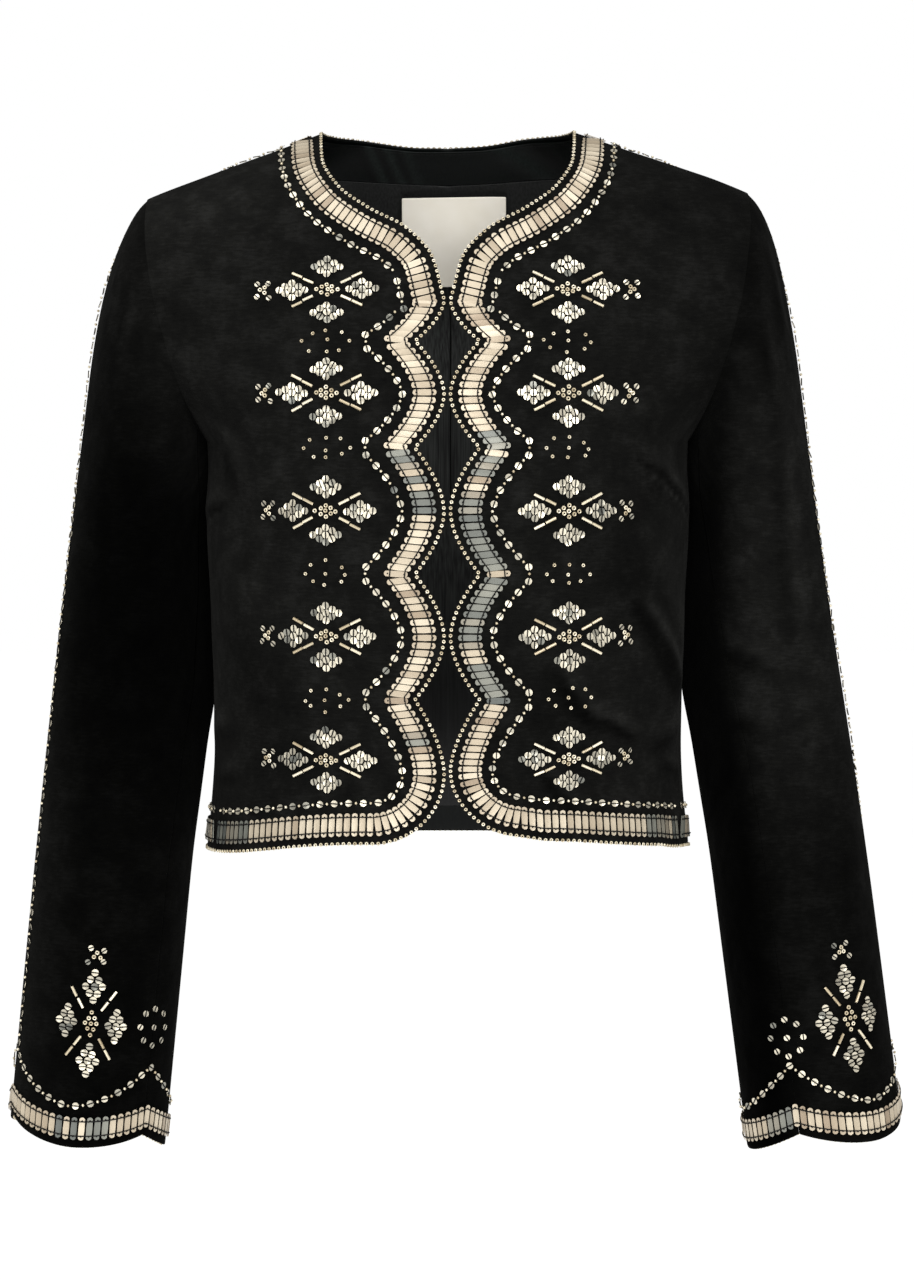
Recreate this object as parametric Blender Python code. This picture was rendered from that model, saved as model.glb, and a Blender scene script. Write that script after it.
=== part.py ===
"""Cropped collarless velvet jacket in its worn, hollow form, with scalloped front edges and cuffs.

Metres, +Z up. The origin lies midway between the two shoulder tips, where a wearer's shoulders
carry the jacket. +X is the wearer's left and -Y is the front.
"""

import math

import bmesh
import bpy
import numpy as np

# Cloth
CLOTH = 0.0016
LINING = 0.0010
LABEL = 0.0006
PLATE = 0.0006
SEAM_GAP = 0.0003
SLEEVE_GAP = 0.0005
LAYER_GAP = 0.0007
LIFT = 0.0007
TOP = LIFT + PLATE

# Shoulder, neck and armhole
TIP_X = 0.193
NECK_X = 0.0806
NECK_Z = 0.041
BACK_NECK_Z = 0.036
UNDERARM_X = 0.1555
UNDERARM_Z = -0.160
ARMHOLE_BOW = 0.009
ARMHOLE_DEPTH = 0.068
SHOULDER_CURVE = 0.15

# Hem, front edge and scallops
HEM_Z = -0.424
FRONT_HEM_Z = -0.413
CORNER_RADIUS = 0.046
EDGE_X = 0.0012
SCALLOP_DEPTH = 0.018
SCALLOP_POWER = 1.75
NECK_TIP_Z = -0.072
CUSP_HEIGHTS = (-0.098, -0.164, -0.242, -0.320)
PLATE_TILT = 0.12

# How far the plate trim lies from an edge
BAND_NEAR = 0.0055
BAND_FAR = 0.0200
BAND_END = 0.004
BAND_LINES = (BAND_NEAR, (BAND_NEAR + BAND_FAR) / 2, BAND_FAR)

# Level sections of the body: squarer than an ellipse by this share
SQUARENESS = 0.10
SIDE_SEAM_SWING = math.radians(22)
WIDTH_COLUMNS = ("height", "half_width")
WIDTH_ROWS = (
    (-0.430, 0.1567),
    (-0.355, 0.1512),
    (-0.265, 0.1533),
    (-0.205, 0.1562),
    (-0.178, 0.1548),
    (-0.160, 0.1555),
)
PAST_ARM_COLUMNS = ("height", "half_width")
PAST_ARM_ROWS = (
    (-0.160, 0.1555),
    (-0.152, 0.1615),
    (-0.140, 0.1735),
    (-0.120, 0.1950),
    (-0.100, 0.2140),
    (-0.080, 0.2290),
    (-0.055, 0.2380),
    (-0.035, 0.2370),
    (-0.015, 0.2190),
    (-0.006, 0.2055),
    (0.000, 0.1930),
)
REACH_COLUMNS = ("height", "front", "back")
REACH_ROWS = (
    (-0.430, 0.122, 0.106),
    (-0.355, 0.118, 0.097),
    (-0.265, 0.122, 0.100),
    (-0.190, 0.127, 0.108),
    (-0.130, 0.115, 0.109),
    (-0.066, 0.096, 0.100),
    (-0.030, 0.081, 0.090),
    (0.000, 0.064, 0.078),
    (0.020, 0.046, 0.067),
    (0.041, 0.024, 0.052),
)
NECK_COLUMNS = ("height", "from_centre")
NECK_ROWS = (
    (-0.072, 0.0000),
    (-0.044, 0.0085),
    (-0.026, 0.0250),
    (-0.012, 0.0490),
    (0.004, 0.0690),
    (0.022, 0.0790),
    (0.041, 0.0806),
)

# Soft folds that stand out of the body cloth, on the wearer's left and right
FOLD_COLUMNS = ("side", "top_angle", "top_height", "end_angle", "end_height", "width", "rise")
FOLD_ROWS = (
    (1, 50, -0.215, 80, -0.325, 0.020, 0.0030),
    (1, 26, -0.250, 30, -0.400, 0.026, 0.0022),
    (-1, 62, -0.215, 40, -0.330, 0.026, 0.0022),
    (-1, 30, -0.300, 44, -0.400, 0.022, 0.0018),
    (1, 130, -0.120, 115, -0.300, 0.034, 0.0030),
    (-1, 128, -0.130, 112, -0.310, 0.034, 0.0030),
    (1, 160, -0.220, 150, -0.400, 0.030, 0.0022),
    (-1, 164, -0.240, 146, -0.400, 0.030, 0.0022),
)

# Sleeves: outer and inner lines seen from the front, and half depths
CUFF_Z = -0.606
CUFF_TILT = 0.013
CAP_SHARE = 0.55
CAP_POWER = 1.6
CUFF_FORWARD = 0.012
CUFF_SCALLOP = 0.0115
SWING_START = -0.28
# Heights over which one sleeve is slimmer along its outer line
SLIM_RUN = 0.08
SLIM_END = -0.12
SLIM_FADE = 0.35
# How far the inner side of a sleeve hangs behind the widest line of the body, and over which heights
INNER_BACK = 0.042
BACK_RUN = 0.045
BACK_END = -0.30
BACK_FADE = 0.14
# Shares of a sleeve's length over which it leaves the armhole's form and its seams turn
RIM_SHARE = 0.12
BOW_SHARE = 0.2
ROUND_SHARE = 0.4
SEAM_SHARE = 0.6
SEAM_ANGLE_TOP = math.radians(150)
SEAM_ANGLE_CUFF = math.radians(120)
UPPER_GAP = 0.0016
UNDER_GAP = 0.0032
SIDE_COLUMNS = ("sign", "twist_degrees", "swing", "slimmer")
SIDES = {"left": (1, -8, 0.016, 0.004), "right": (-1, 18, -0.016, 0.0)}
OUTER_COLUMNS = ("height", "from_centre")
OUTER_ROWS = (
    (-0.620, 0.2925),
    (-0.400, 0.2670),
    (-0.260, 0.2495),
    (-0.160, 0.2370),
    (-0.090, 0.2274),
    (-0.052, 0.2176),
    (-0.021, 0.2070),
    (-0.006, 0.1992),
    (0.000, 0.1930),
)
INNER_COLUMNS = ("height", "from_centre")
INNER_ROWS = (
    (-0.640, 0.1925),
    (-0.500, 0.1765),
    (-0.426, 0.1680),
    (-0.392, 0.1635),
    (-0.356, 0.1590),
    (-0.315, 0.1533),
    (-0.270, 0.1525),
    (-0.220, 0.1550),
    (-0.190, 0.1556),
    (-0.160, 0.1555),
)
DEPTH_COLUMNS = ("height", "half_depth")
DEPTH_ROWS = (
    (-0.640, 0.0430),
    (-0.420, 0.0480),
    (-0.250, 0.0570),
    (-0.120, 0.0660),
    (-0.080, 0.0680),
)

# Back neck facing, lining and label
FACING_DROP_Z = 0.0117
FACING_RISE = 0.0145
FACING_POWER = 1.5
FACING_END = math.radians(68)
LINING_ARM_END = math.radians(-40)
LINING_HEM = 0.018
LINING_SIDE = 0.80
LABEL_X = 0.004
LABEL_WIDTH = 0.070
LABEL_TOP_Z = 0.005
LABEL_HEIGHT = 0.060

# Grid sizes
FRONT_COLUMNS = (0.0, 0.045, 0.10, 0.17, 0.27, 0.39, 0.52, 0.66, 0.80, 0.91, 1.0)
BACK_COLUMNS = 12
BACK_ROWS = 22
BACK_NECK_ROWS = 9
LINING_COLUMNS = 7
FACING_ROWS = 8
SLEEVE_ROWS = 15
UPPER_COLUMNS = 22
UNDER_COLUMNS = 10

MATERIALS = {
    "velvet": ((0.010, 0.009, 0.010), 0.85, 0.0),
    "lining": ((0.012, 0.014, 0.014), 0.45, 0.0),
    "label": ((0.80, 0.74, 0.64), 0.60, 0.0),
    "plate": ((0.78, 0.68, 0.53), 0.28, 0.9),
}


def smooth(rows, at, column=1):
    """Monotone cubic through one column of a table whose first column rises."""
    knots = np.array([row[0] for row in rows])
    values = np.array([row[column] for row in rows])
    steps = np.diff(knots)
    slopes = np.diff(values) / steps
    tangents = np.empty_like(values)
    products = slopes[:-1] * slopes[1:]
    sums = np.where(products > 0, slopes[:-1] + slopes[1:], 1.0)
    tangents[1:-1] = np.where(products > 0, 2 * products / sums, 0.0)
    tangents[0] = slopes[0]
    tangents[-1] = slopes[-1]
    at = np.clip(np.asarray(at, float), knots[0], knots[-1])
    i = np.clip(np.searchsorted(knots, at) - 1, 0, len(steps) - 1)
    t = (at - knots[i]) / steps[i]
    rise = (1 + 2 * t) * (1 - t) ** 2 * values[i] + t * t * (3 - 2 * t) * values[i + 1]
    turn = t * (1 - t) ** 2 * tangents[i] - t * t * (1 - t) * tangents[i + 1]
    return rise + turn * steps[i]


def ease(t):
    t = np.clip(t, 0.0, 1.0)
    return t * t * (3 - 2 * t)


# How the jacket hangs, not quite even: rises across it at the shoulders, the back neck and the hem
HANG_COLUMNS = ("from_centre", "rise")
SHOULDER_HANG = (
    (-0.110, -0.0040),
    (-0.080, -0.0026),
    (-0.030, 0.0000),
    (0.030, 0.0000),
    (0.080, -0.0018),
    (0.120, -0.0016),
    (0.170, 0.0000),
)
NECK_HANG = (
    (-0.090, 0.0000),
    (-0.063, 0.0010),
    (-0.020, -0.0030),
    (0.020, -0.0024),
    (0.058, 0.0020),
    (0.090, 0.0000),
)
HEM_HANG = (
    (-0.160, 0.0012),
    (-0.140, 0.0024),
    (-0.0001, 0.0024),
    (0.0001, 0.0074),
    (0.045, 0.0074),
    (0.060, 0.0048),
    (0.100, 0.0053),
    (0.135, 0.0068),
    (0.155, 0.0040),
)
SHOULDER_FADE = 0.10
NECK_FADE = 0.03
HEM_HANG_TOP = -0.335
HEM_HANG_FADE = 0.075
HANG_BACK = 0.02
HANG_BACK_FADE = 0.06
HANG_SIDE = 0.160
HANG_SIDE_FADE = 0.012


def settled(points):
    """Points moved up or down to where they hang."""
    points = np.array(points, float)
    x, y, z = points.T
    shoulder = np.interp(x, *zip(*SHOULDER_HANG)) * ease((z + SHOULDER_FADE) / SHOULDER_FADE)
    neck = smooth(NECK_HANG, x) * ease(z / NECK_FADE) * ease(y / HANG_BACK)
    hem = np.interp(x, *zip(*HEM_HANG)) * ease((HEM_HANG_TOP - z) / HEM_HANG_FADE)
    hem = hem * ease((HANG_BACK - y) / HANG_BACK_FADE) * (1 - ease((np.abs(x) - HANG_SIDE) / HANG_SIDE_FADE))
    points[:, 2] += shoulder + neck + hem
    return points


# Body: level sections from the hem to the neck. The angle runs from 0 at the centre front to pi


def squared(a, b):
    return a * (1 + SQUARENESS * b * b)


def unsquared(value):
    """The sine that squared() turns into this value."""
    value = np.clip(value, 0.0, 1.0)
    sine = value
    for _ in range(12):
        sine = value / (1 + SQUARENESS * (1 - sine * sine))
    return np.clip(sine, 0.0, 1.0)


def body_reach(height, behind):
    return np.where(behind, smooth(REACH_ROWS, height, 2), smooth(REACH_ROWS, height, 1))


def body_half_width(height):
    """Half width of a section; between underarm and shoulder it runs on past the armhole."""
    share = height / NECK_Z
    shoulder = TIP_X + (NECK_X - TIP_X) * share * (1 - SHOULDER_CURVE * (1 - share))
    past_arm = np.where(height >= 0, shoulder, smooth(PAST_ARM_ROWS, height))
    return np.where(height > UNDERARM_Z, past_arm, smooth(WIDTH_ROWS, height))


def angle_at(x, height, behind):
    angle = np.arcsin(unsquared(x / body_half_width(height)))
    return np.where(behind, math.pi - angle, angle)


# Armhole: an oval through the shoulder tip (turn 0), the front (90), the underarm (180) and the back


def armhole(turn):
    """Points of the wearer's left armhole seam, cut from the body's form."""
    share = (1 + np.cos(turn)) / 2
    x = UNDERARM_X + (TIP_X - UNDERARM_X) * share + ARMHOLE_BOW * np.sin(turn) ** 2
    z = UNDERARM_Z * (1 - share)
    behind = np.sin(turn) < 0
    sine = unsquared(x / body_half_width(z))
    y = body_reach(z, behind) * squared(np.sqrt(1 - sine * sine), sine)
    return np.stack([x, np.where(behind, y, -y), z], -1)


def armhole_normal(turn):
    """Direction out of the armhole oval, which both walls share at the seam."""
    step = 0.02
    run = armhole(turn + step) - armhole(turn - step)
    out = np.stack([np.zeros_like(turn), run[..., 2], -run[..., 1]], -1)
    return out / np.linalg.norm(out, axis=-1, keepdims=True)


def fold_rise(angle, height, side):
    """How far the soft folds lift the cloth."""
    total = np.zeros_like(height)
    for fold_side, top_angle, top, end_angle, end, width, rise in FOLD_ROWS:
        along = (height - top) / (end - top)
        middle = np.radians(top_angle + (end_angle - top_angle) * along)
        across = (angle - middle) * smooth(REACH_ROWS, height) / width
        bump = rise * np.exp(-across * across) * np.sin(math.pi * np.clip(along, 0, 1)) ** 1.3
        total += np.where(fold_side == side, bump, 0.0)
    return total


def body_form(angle, height):
    behind = np.cos(angle) < 0
    x = body_half_width(height) * squared(np.sin(angle), np.cos(angle))
    y = -body_reach(height, behind) * squared(np.cos(angle), np.sin(angle))
    return np.stack([x, y, height], -1)


def body(angle, height, side, folded=True):
    """(points, outward normals) of the body cloth on one side."""
    step_angle = 1e-3
    step_height = 1e-4
    across = body_form(angle + step_angle, height) - body_form(angle - step_angle, height)
    up = body_form(angle, height + step_height) - body_form(angle, height - step_height)
    normals = np.cross(across, up)
    normals /= np.linalg.norm(normals, axis=-1, keepdims=True)
    points = body_form(angle, height)
    if folded:
        points = points + normals * fold_rise(angle, height, side)[..., None]
    flip = np.array([side, 1, 1])
    return points * flip, normals * flip


# Front edge, from the corner of the hem up to the shoulder seam


def scallop(share):
    """Distance from the centre front, where share runs from -1 to 1 between two cusps."""
    return EDGE_X + SCALLOP_DEPTH * np.abs(share) ** SCALLOP_POWER


def corner_edge(turns):
    """Rounded corner: (x, height, inward x, inward z), turn 0 up the front and 90 along the hem."""
    x = EDGE_X + CORNER_RADIUS * (1 - np.cos(turns))
    z = FRONT_HEM_Z + CORNER_RADIUS * (1 - np.sin(turns))
    return np.stack([x, z, np.cos(turns), np.sin(turns)], -1)


def scalloped_edge(steps):
    """The wavy edge from the top of the corner to the lowest point of the neckline."""
    tips = [FRONT_HEM_Z + CORNER_RADIUS, *CUSP_HEIGHTS[::-1], NECK_TIP_Z]
    rows = []
    for number in range(len(tips) - 1):
        low, high = tips[number], tips[number + 1]
        first = 0.0 if number == 0 else -1.0
        last = 0.0 if number == len(tips) - 2 else 1.0
        count = steps if first and last else steps // 2
        for share in np.linspace(first, last, count, endpoint=False):
            z = low + (high - low) * (share - first) / (last - first)
            lean = -PLATE_TILT * np.sign(share) * np.abs(share) ** (SCALLOP_POWER - 1)
            rows.append((float(scallop(share)), z, math.cos(lean), math.sin(lean)))
    return np.array(rows)


def neck_edge(steps):
    """Neckline from its lowest point to the shoulder seam, with rows closer at the top."""
    z = NECK_Z - (NECK_Z - NECK_TIP_Z) * (1 - np.linspace(0, 1, steps + 1)) ** 1.5
    x = EDGE_X * (z < NECK_Z) * (1 - ease((z - NECK_TIP_Z) / 0.05)) + smooth(NECK_ROWS, z)
    slope = np.gradient(x, z)
    length = np.sqrt(1 + slope * slope)
    inward = np.stack([1 / length, -slope / length], -1)
    return np.concatenate([np.stack([x, z], -1), inward], -1)


def side_seam(height):
    """Angle of the side seam, which swings forward towards the hem."""
    fall = np.clip((UNDERARM_Z - height) / (UNDERARM_Z - HEM_Z), 0, 1)
    return math.pi / 2 - SIDE_SEAM_SWING * fall**2.2


def hem_line(angle):
    """Height of the front's lower edge: the rounded corner, then the hem out to the side seam."""
    x = body_form(angle, np.full_like(angle, FRONT_HEM_Z))[..., 0]
    inside = np.clip(EDGE_X + CORNER_RADIUS - x, 0, CORNER_RADIUS)
    corner = CORNER_RADIUS - np.sqrt(CORNER_RADIUS**2 - inside**2)
    start = corner_end()
    fall = ease((angle - start) / (side_seam(HEM_Z) - start))
    return FRONT_HEM_Z + corner + (HEM_Z - FRONT_HEM_Z) * fall


def corner_end():
    """Angle at which the rounded corner runs into the hem."""
    return float(angle_at(EDGE_X + CORNER_RADIUS, np.float64(FRONT_HEM_Z), False))


def spread(inner, outer, columns, level):
    """Angles and heights of a grid between an inner and an outer line of (angle, height).

    level is 0 on rows that follow the angle and 1 on rows spaced evenly from the centre.
    """
    u = np.asarray(columns)[None, :]
    height = inner[:, 1:] + (outer[:, 1:] - inner[:, 1:]) * u
    angle = inner[:, :1] + (outer[:, :1] - inner[:, :1]) * u
    behind = inner[:, :1] > math.pi / 2
    x_in = body_form(inner[:, 0], inner[:, 1])[:, :1]
    x_out = body_form(outer[:, 0], outer[:, 1])[:, :1]
    even = angle_at(x_in + (x_out - x_in) * u, height, behind)
    even = np.where(u == 0, inner[:, :1], np.where(u == 1, outer[:, :1], even))
    return angle + (even - angle) * np.asarray(level)[:, None], height


# Walls


def make_material(name):
    color, roughness, metallic = MATERIALS[name]
    material = bpy.data.materials.get(name) or bpy.data.materials.new(name)
    material.use_nodes = True
    shader = material.node_tree.nodes["Principled BSDF"]
    shader.inputs["Base Color"].default_value = (*color, 1.0)
    shader.inputs["Roughness"].default_value = roughness
    shader.inputs["Metallic"].default_value = metallic
    return material


def make_wall(name, material, *sheets):
    """A closed wall lofted between (face, back) grids of points; grids that share an edge join there."""
    numbers = {}
    pairs = []
    quads = []
    for face, back in sheets:
        ids = np.empty(face.shape[:2], int)
        for place in np.ndindex(ids.shape):
            key = tuple(np.round(face[place], 7))
            if key not in numbers:
                numbers[key] = len(pairs)
                pairs.append((face[place], back[place]))
            ids[place] = numbers[key]
        corners = (ids[:-1, :-1], ids[:-1, 1:], ids[1:, 1:], ids[1:, :-1])
        quads += np.stack(corners, -1).reshape(-1, 4).tolist()
    uses = {}
    for quad in quads:
        for edge in zip(quad, quad[1:] + quad[:1]):
            uses.setdefault(tuple(sorted(edge)), []).append(edge)
    mesh = bmesh.new()
    front = [mesh.verts.new(point) for point in settled([pair[0] for pair in pairs])]
    behind = [mesh.verts.new(point) for point in settled([pair[1] for pair in pairs])]
    for quad in quads:
        mesh.faces.new([front[n] for n in quad])
        mesh.faces.new([behind[n] for n in quad])
    for found in uses.values():
        if len(found) == 1:
            a, b = found[0]
            mesh.faces.new((front[a], front[b], behind[b], behind[a]))
    bmesh.ops.recalc_face_normals(mesh, faces=mesh.faces)
    data = bpy.data.meshes.new(name)
    mesh.to_mesh(data)
    mesh.free()
    data.shade_smooth()
    data.set_sharp_from_angle(angle=math.radians(50))
    data.materials.append(make_material(material))
    wall = bpy.data.objects.new(name, data)
    collection().objects.link(wall)


def collection():
    found = bpy.data.collections.get("cropped_jacket")
    if found is None:
        found = bpy.data.collections.new("cropped_jacket")
        bpy.context.scene.collection.children.link(found)
    return found


# Body panels


def front_lines(scallop_steps, neck_steps, corner_steps):
    """The front edge up from the middle of its corner, and the side and armhole line beside it."""
    corner = corner_edge(np.linspace(math.pi / 4, 0, corner_steps, endpoint=False))
    edge = np.concatenate([corner, scalloped_edge(scallop_steps), neck_edge(neck_steps)])
    below = edge[:, 1] < CUSP_HEIGHTS[1] - 1e-6
    inner = np.stack([angle_at(edge[:, 0], edge[:, 1], np.zeros(len(edge), bool)), edge[:, 1]], -1)
    inner[-1, 0] = math.pi / 2
    climb = np.interp(edge[:, 1], (edge[0, 1], CUSP_HEIGHTS[1]), (HEM_Z, UNDERARM_Z))
    outer = np.stack([side_seam(climb), climb], -1)
    count = int((~below).sum())
    turns = np.linspace(math.pi, 0, count)
    seam = armhole(turns)
    outer[~below, 1] = seam[:, 2]
    outer[~below, 0] = angle_at(seam[:, 0], seam[:, 2], np.zeros(count, bool))
    outer[~below, 0][[0, -1]] = math.pi / 2
    return edge, inner, outer, below, turns


def front_grid(columns, scallop_steps=8, neck_steps=15, corner_steps=3):
    edge, inner, outer, below, turns = front_lines(scallop_steps, neck_steps, corner_steps)
    level = np.zeros(len(inner))
    level[~below] = ease((math.pi - turns) / (math.pi / 3))
    level[-1] = 0
    angle, height = spread(inner, outer, columns, level)
    # The lowest rows sink to the rounded corner and the hem.
    hem = hem_line(angle[0])
    rise = (height[:, :1] - edge[0, 1]) / CORNER_RADIUS
    height = height + (hem - height[0])[None, :] * np.clip(1 - rise, 0, 1) ** 2
    return angle, height, below, turns


def rim_normals(normals, below, turns, side):
    """Gives the last column the direction that it shares with the sleeve along the armhole."""
    normals[~below, -1] = armhole_normal(turns) * np.array([side, 1, 1])
    return normals


def make_front(name, side):
    angle, height, below, turns = front_grid(FRONT_COLUMNS)
    points, normals = body(angle, height, side)
    normals = rim_normals(normals, below, turns, side)
    points[..., 1] -= SEAM_GAP / 2
    make_wall(name, "velvet", (points, points - normals * CLOTH))


def back_lines(neck_height, neck_end, arm_end, hem_height, rows, neck_rows):
    """Centre back up to a neck line, then along it, and the side and armhole line beside it."""
    centre = np.stack([np.full(rows, math.pi), np.linspace(hem_height, neck_height(0.0), rows)], -1)
    turns = np.linspace(0, neck_end, neck_rows + 1)[1:]
    neck = np.stack([math.pi - turns, neck_height(turns)], -1)
    inner = np.concatenate([centre, neck])
    below_rows = int(round((UNDERARM_Z - hem_height) / (neck_height(0.0) - hem_height) * (rows - 1)))
    side = np.linspace(hem_height, UNDERARM_Z, below_rows, endpoint=False)
    arm_turns = np.linspace(-math.pi, arm_end, len(inner) - below_rows)
    seam = armhole(arm_turns)
    arm_angle = angle_at(seam[:, 0], seam[:, 2], np.ones(len(seam), bool))
    arm_angle[0] = math.pi / 2
    outer = np.concatenate([np.stack([side_seam(side), side], -1), np.stack([arm_angle, seam[:, 2]], -1)])
    below = np.arange(len(inner)) < below_rows
    level = np.zeros(len(inner))
    level[~below] = ease((math.pi + arm_turns) / (math.pi / 3)) * (arm_turns < 0)
    return inner, outer, level, below, arm_turns


def back_neck(turn):
    return BACK_NECK_Z + (NECK_Z - BACK_NECK_Z) * np.sin(turn) ** 2


def facing_line(turn):
    return FACING_DROP_Z + FACING_RISE * np.sin(turn) ** FACING_POWER


def back_sheets(angle, height, low, high, finish=None):
    """Both halves of a grid over the back, as (face, back) pairs this far above the outer cloth."""
    halves = []
    for side in (1, -1):
        points, normals = body(angle, height, side, folded=high >= 0)
        if finish:
            normals = finish(normals, side)
        points[..., 1] += SEAM_GAP / 2
        halves.append((points + normals * high, points + normals * low))
    return halves


def make_back():
    inner, outer, level, below, turns = back_lines(
        back_neck, math.pi / 2, 0.0, HEM_Z, BACK_ROWS, BACK_NECK_ROWS
    )
    angle, height = spread(inner, outer, np.linspace(0, 1, BACK_COLUMNS + 1), level)
    halves = back_sheets(angle, height, -CLOTH, 0.0, lambda n, side: rim_normals(n, below, turns, side))
    make_wall("back", "velvet", *halves)


def make_facing_and_lining():
    depth = CLOTH + LAYER_GAP
    turns = np.linspace(0, FACING_END, FACING_ROWS + 1)
    inner = np.stack([math.pi - turns, back_neck(turns) - 0.001], -1)
    outer = np.stack([math.pi - turns, facing_line(turns)], -1)
    angle, height = spread(inner, outer, (0.0, 0.33, 0.67, 1.0), np.ones(len(turns)))
    make_wall("back_neck_facing", "lining", *back_sheets(angle, height, -depth - LINING, -depth))
    lining_top = lambda turn: facing_line(turn) - SEAM_GAP
    lines = back_lines(lining_top, FACING_END, LINING_ARM_END, HEM_Z + LINING_HEM, BACK_ROWS, FACING_ROWS)
    columns = np.linspace(0, LINING_SIDE, LINING_COLUMNS + 1)
    angle, height = spread(lines[0], lines[1], columns, lines[2])
    make_wall("lining_back", "lining", *back_sheets(angle, height, -depth - LINING, -depth))


def make_label():
    depth = CLOTH + LINING + 2 * LAYER_GAP
    heights = np.linspace(LABEL_TOP_Z - LABEL_HEIGHT, LABEL_TOP_Z, 7)[:, None]
    across = LABEL_X + LABEL_WIDTH * np.linspace(-0.5, 0.5, 9)[None, :]
    heights, across = np.broadcast_arrays(heights, across)
    angle = angle_at(np.abs(across), heights, np.ones(across.shape, bool))
    points, normals = body(angle, heights.copy(), 1, folded=False)
    mirror = np.stack([np.where(across < 0, -1, 1), np.ones_like(across), np.ones_like(across)], -1)
    points = points * mirror
    normals = normals * mirror
    points[..., 1] += SEAM_GAP / 2
    make_wall("label", "label", (points - normals * depth, points - normals * (depth + LABEL)))


# Sleeves: tilted rings from the armhole to the cuff. The turn runs as on the armhole


def sleeve_form(turn, along, side):
    """Points of a sleeve in the wearer's left frame; along is 0 at the armhole and 1 at the cuff."""
    swing, slimmer = SIDES[side][2:]
    tilt = CUFF_TILT + (-UNDERARM_Z - CUFF_TILT) * np.clip(1 - along / CAP_SHARE, 0, 1) ** CAP_POWER
    outer_z = CUFF_Z * along
    inner_z = outer_z - tilt
    slim = ease(-outer_z / SLIM_RUN) * (1 - ease((SLIM_END - outer_z) / SLIM_FADE))
    outer_x = smooth(OUTER_ROWS, outer_z) - slimmer * slim
    inner_x = smooth(INNER_ROWS, inner_z)
    middle_z = (outer_z + inner_z) / 2
    share = (1 + np.cos(turn)) / 2
    x = inner_x + (outer_x - inner_x) * share
    z = inner_z + (outer_z - inner_z) * share
    x = x + swing * np.clip(SWING_START - z, 0, None)
    x = x + ARMHOLE_BOW * np.sin(turn) ** 2 * np.clip(1 - along / BOW_SHARE, 0, 1) ** 2
    oval = armhole(turn)[..., 1] / -ARMHOLE_DEPTH
    oval = oval + (np.sin(turn) - oval) * ease(along / ROUND_SHARE)
    y = -smooth(DEPTH_ROWS, middle_z) * oval - CUFF_FORWARD * ease(along)
    set_back = ease((UNDERARM_Z - z) / BACK_RUN) * (1 - ease((BACK_END - z) / BACK_FADE))
    y = y + INNER_BACK * (1 - share) * set_back
    return np.stack([x + SLEEVE_GAP, y, z], -1)


def sleeve(turn, along, side):
    """(points, outward normals) of a sleeve's cloth."""
    sign = SIDES[side][0]
    step = 1e-3
    across = sleeve_form(turn + step, along, side) - sleeve_form(turn - step, along, side)
    down = sleeve_form(turn, along + step, side) - sleeve_form(turn, np.maximum(along - step, 0), side)
    normals = np.cross(across, down)
    normals /= np.linalg.norm(normals, axis=-1, keepdims=True)
    flip = np.array([sign, 1, 1])
    return sleeve_form(turn, along, side) * flip, normals * flip


def sleeve_turn(lap, along, side):
    """Turn of a line drawn along the sleeve; lap 0 is the outer line, 1 and -1 the two seams."""
    twist = math.radians(SIDES[side][1]) * ease(along / SEAM_SHARE)
    seam = SEAM_ANGLE_TOP + (SEAM_ANGLE_CUFF - SEAM_ANGLE_TOP) * ease(along / SEAM_SHARE)
    under = math.pi - seam
    inside = np.abs(lap) <= 1
    beyond = np.sign(lap) * (seam + (np.abs(lap) - 1) * 2 * under)
    return np.where(inside, lap * seam, beyond) + twist


def cuff_share(lap):
    """Where the scalloped cuff ends on each line: three scallops meet at laps 0, 1 and -1."""
    part = np.where(np.abs(lap) <= 1, np.abs(lap), np.abs(lap) - 1)
    notch = np.abs(2 * part - 1) ** SCALLOP_POWER
    return 1 - CUFF_SCALLOP / -CUFF_Z * notch


def make_sleeve_piece(name, side, laps):
    rows = np.linspace(0, 1, SLEEVE_ROWS) ** 1.25
    lap, row = np.meshgrid(laps, rows)
    along = row * (1 - (1 - cuff_share(lap)) * row**4)
    turn = sleeve_turn(lap, along, side)
    points, normals = sleeve(turn, along, side)
    shared = armhole_normal(turn) * np.array([SIDES[side][0], 1, 1])
    normals = normals + (shared - normals) * (np.clip(1 - along / RIM_SHARE, 0, 1) ** 2)[..., None]
    normals /= np.linalg.norm(normals, axis=-1, keepdims=True)
    make_wall(name, "velvet", (points, points - normals * CLOTH))


def make_sleeve(side):
    upper = np.linspace(-1 + UPPER_GAP, 1 - UPPER_GAP, UPPER_COLUMNS + 1)
    under = np.linspace(1 + UNDER_GAP, 2 - UNDER_GAP, UNDER_COLUMNS + 1)
    make_sleeve_piece(f"sleeve_upper_{side}", side, upper)
    make_sleeve_piece(f"sleeve_under_{side}", side, under)


# Plate trim: thin bands that lie on the cloth along its edges


def front_band_lines(distance):
    """Angles and heights at a distance inside the front's free edge, from shoulder to side seam."""
    edge = np.concatenate([neck_edge(20)[::-1], scalloped_edge(8)[::-1]])
    edge = np.concatenate([edge, corner_edge(np.linspace(0, math.pi / 2, 9))[1:]])
    x = edge[:, 0] + distance * edge[:, 2]
    z = edge[:, 1] + distance * edge[:, 3]
    lines = np.stack([angle_at(x, z, np.zeros(len(x), bool)), z], -1)
    angles = np.linspace(corner_end(), side_seam(HEM_Z), 14)
    hem = np.stack([angles, hem_line(angles) + distance], -1)[1:]
    hem[:, 0] = np.minimum(hem[:, 0], side_seam(hem[:, 1]) - BAND_END)
    return np.concatenate([lines[1:], hem])


def make_front_band(side_name, side):
    grid = np.stack([front_band_lines(distance) for distance in BAND_LINES], 1)
    points, normals = body(grid[..., 0], grid[..., 1], side)
    points[..., 1] -= SEAM_GAP / 2
    make_wall(f"plate_band_front_{side_name}", "plate", (points + normals * TOP, points + normals * LIFT))


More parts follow.
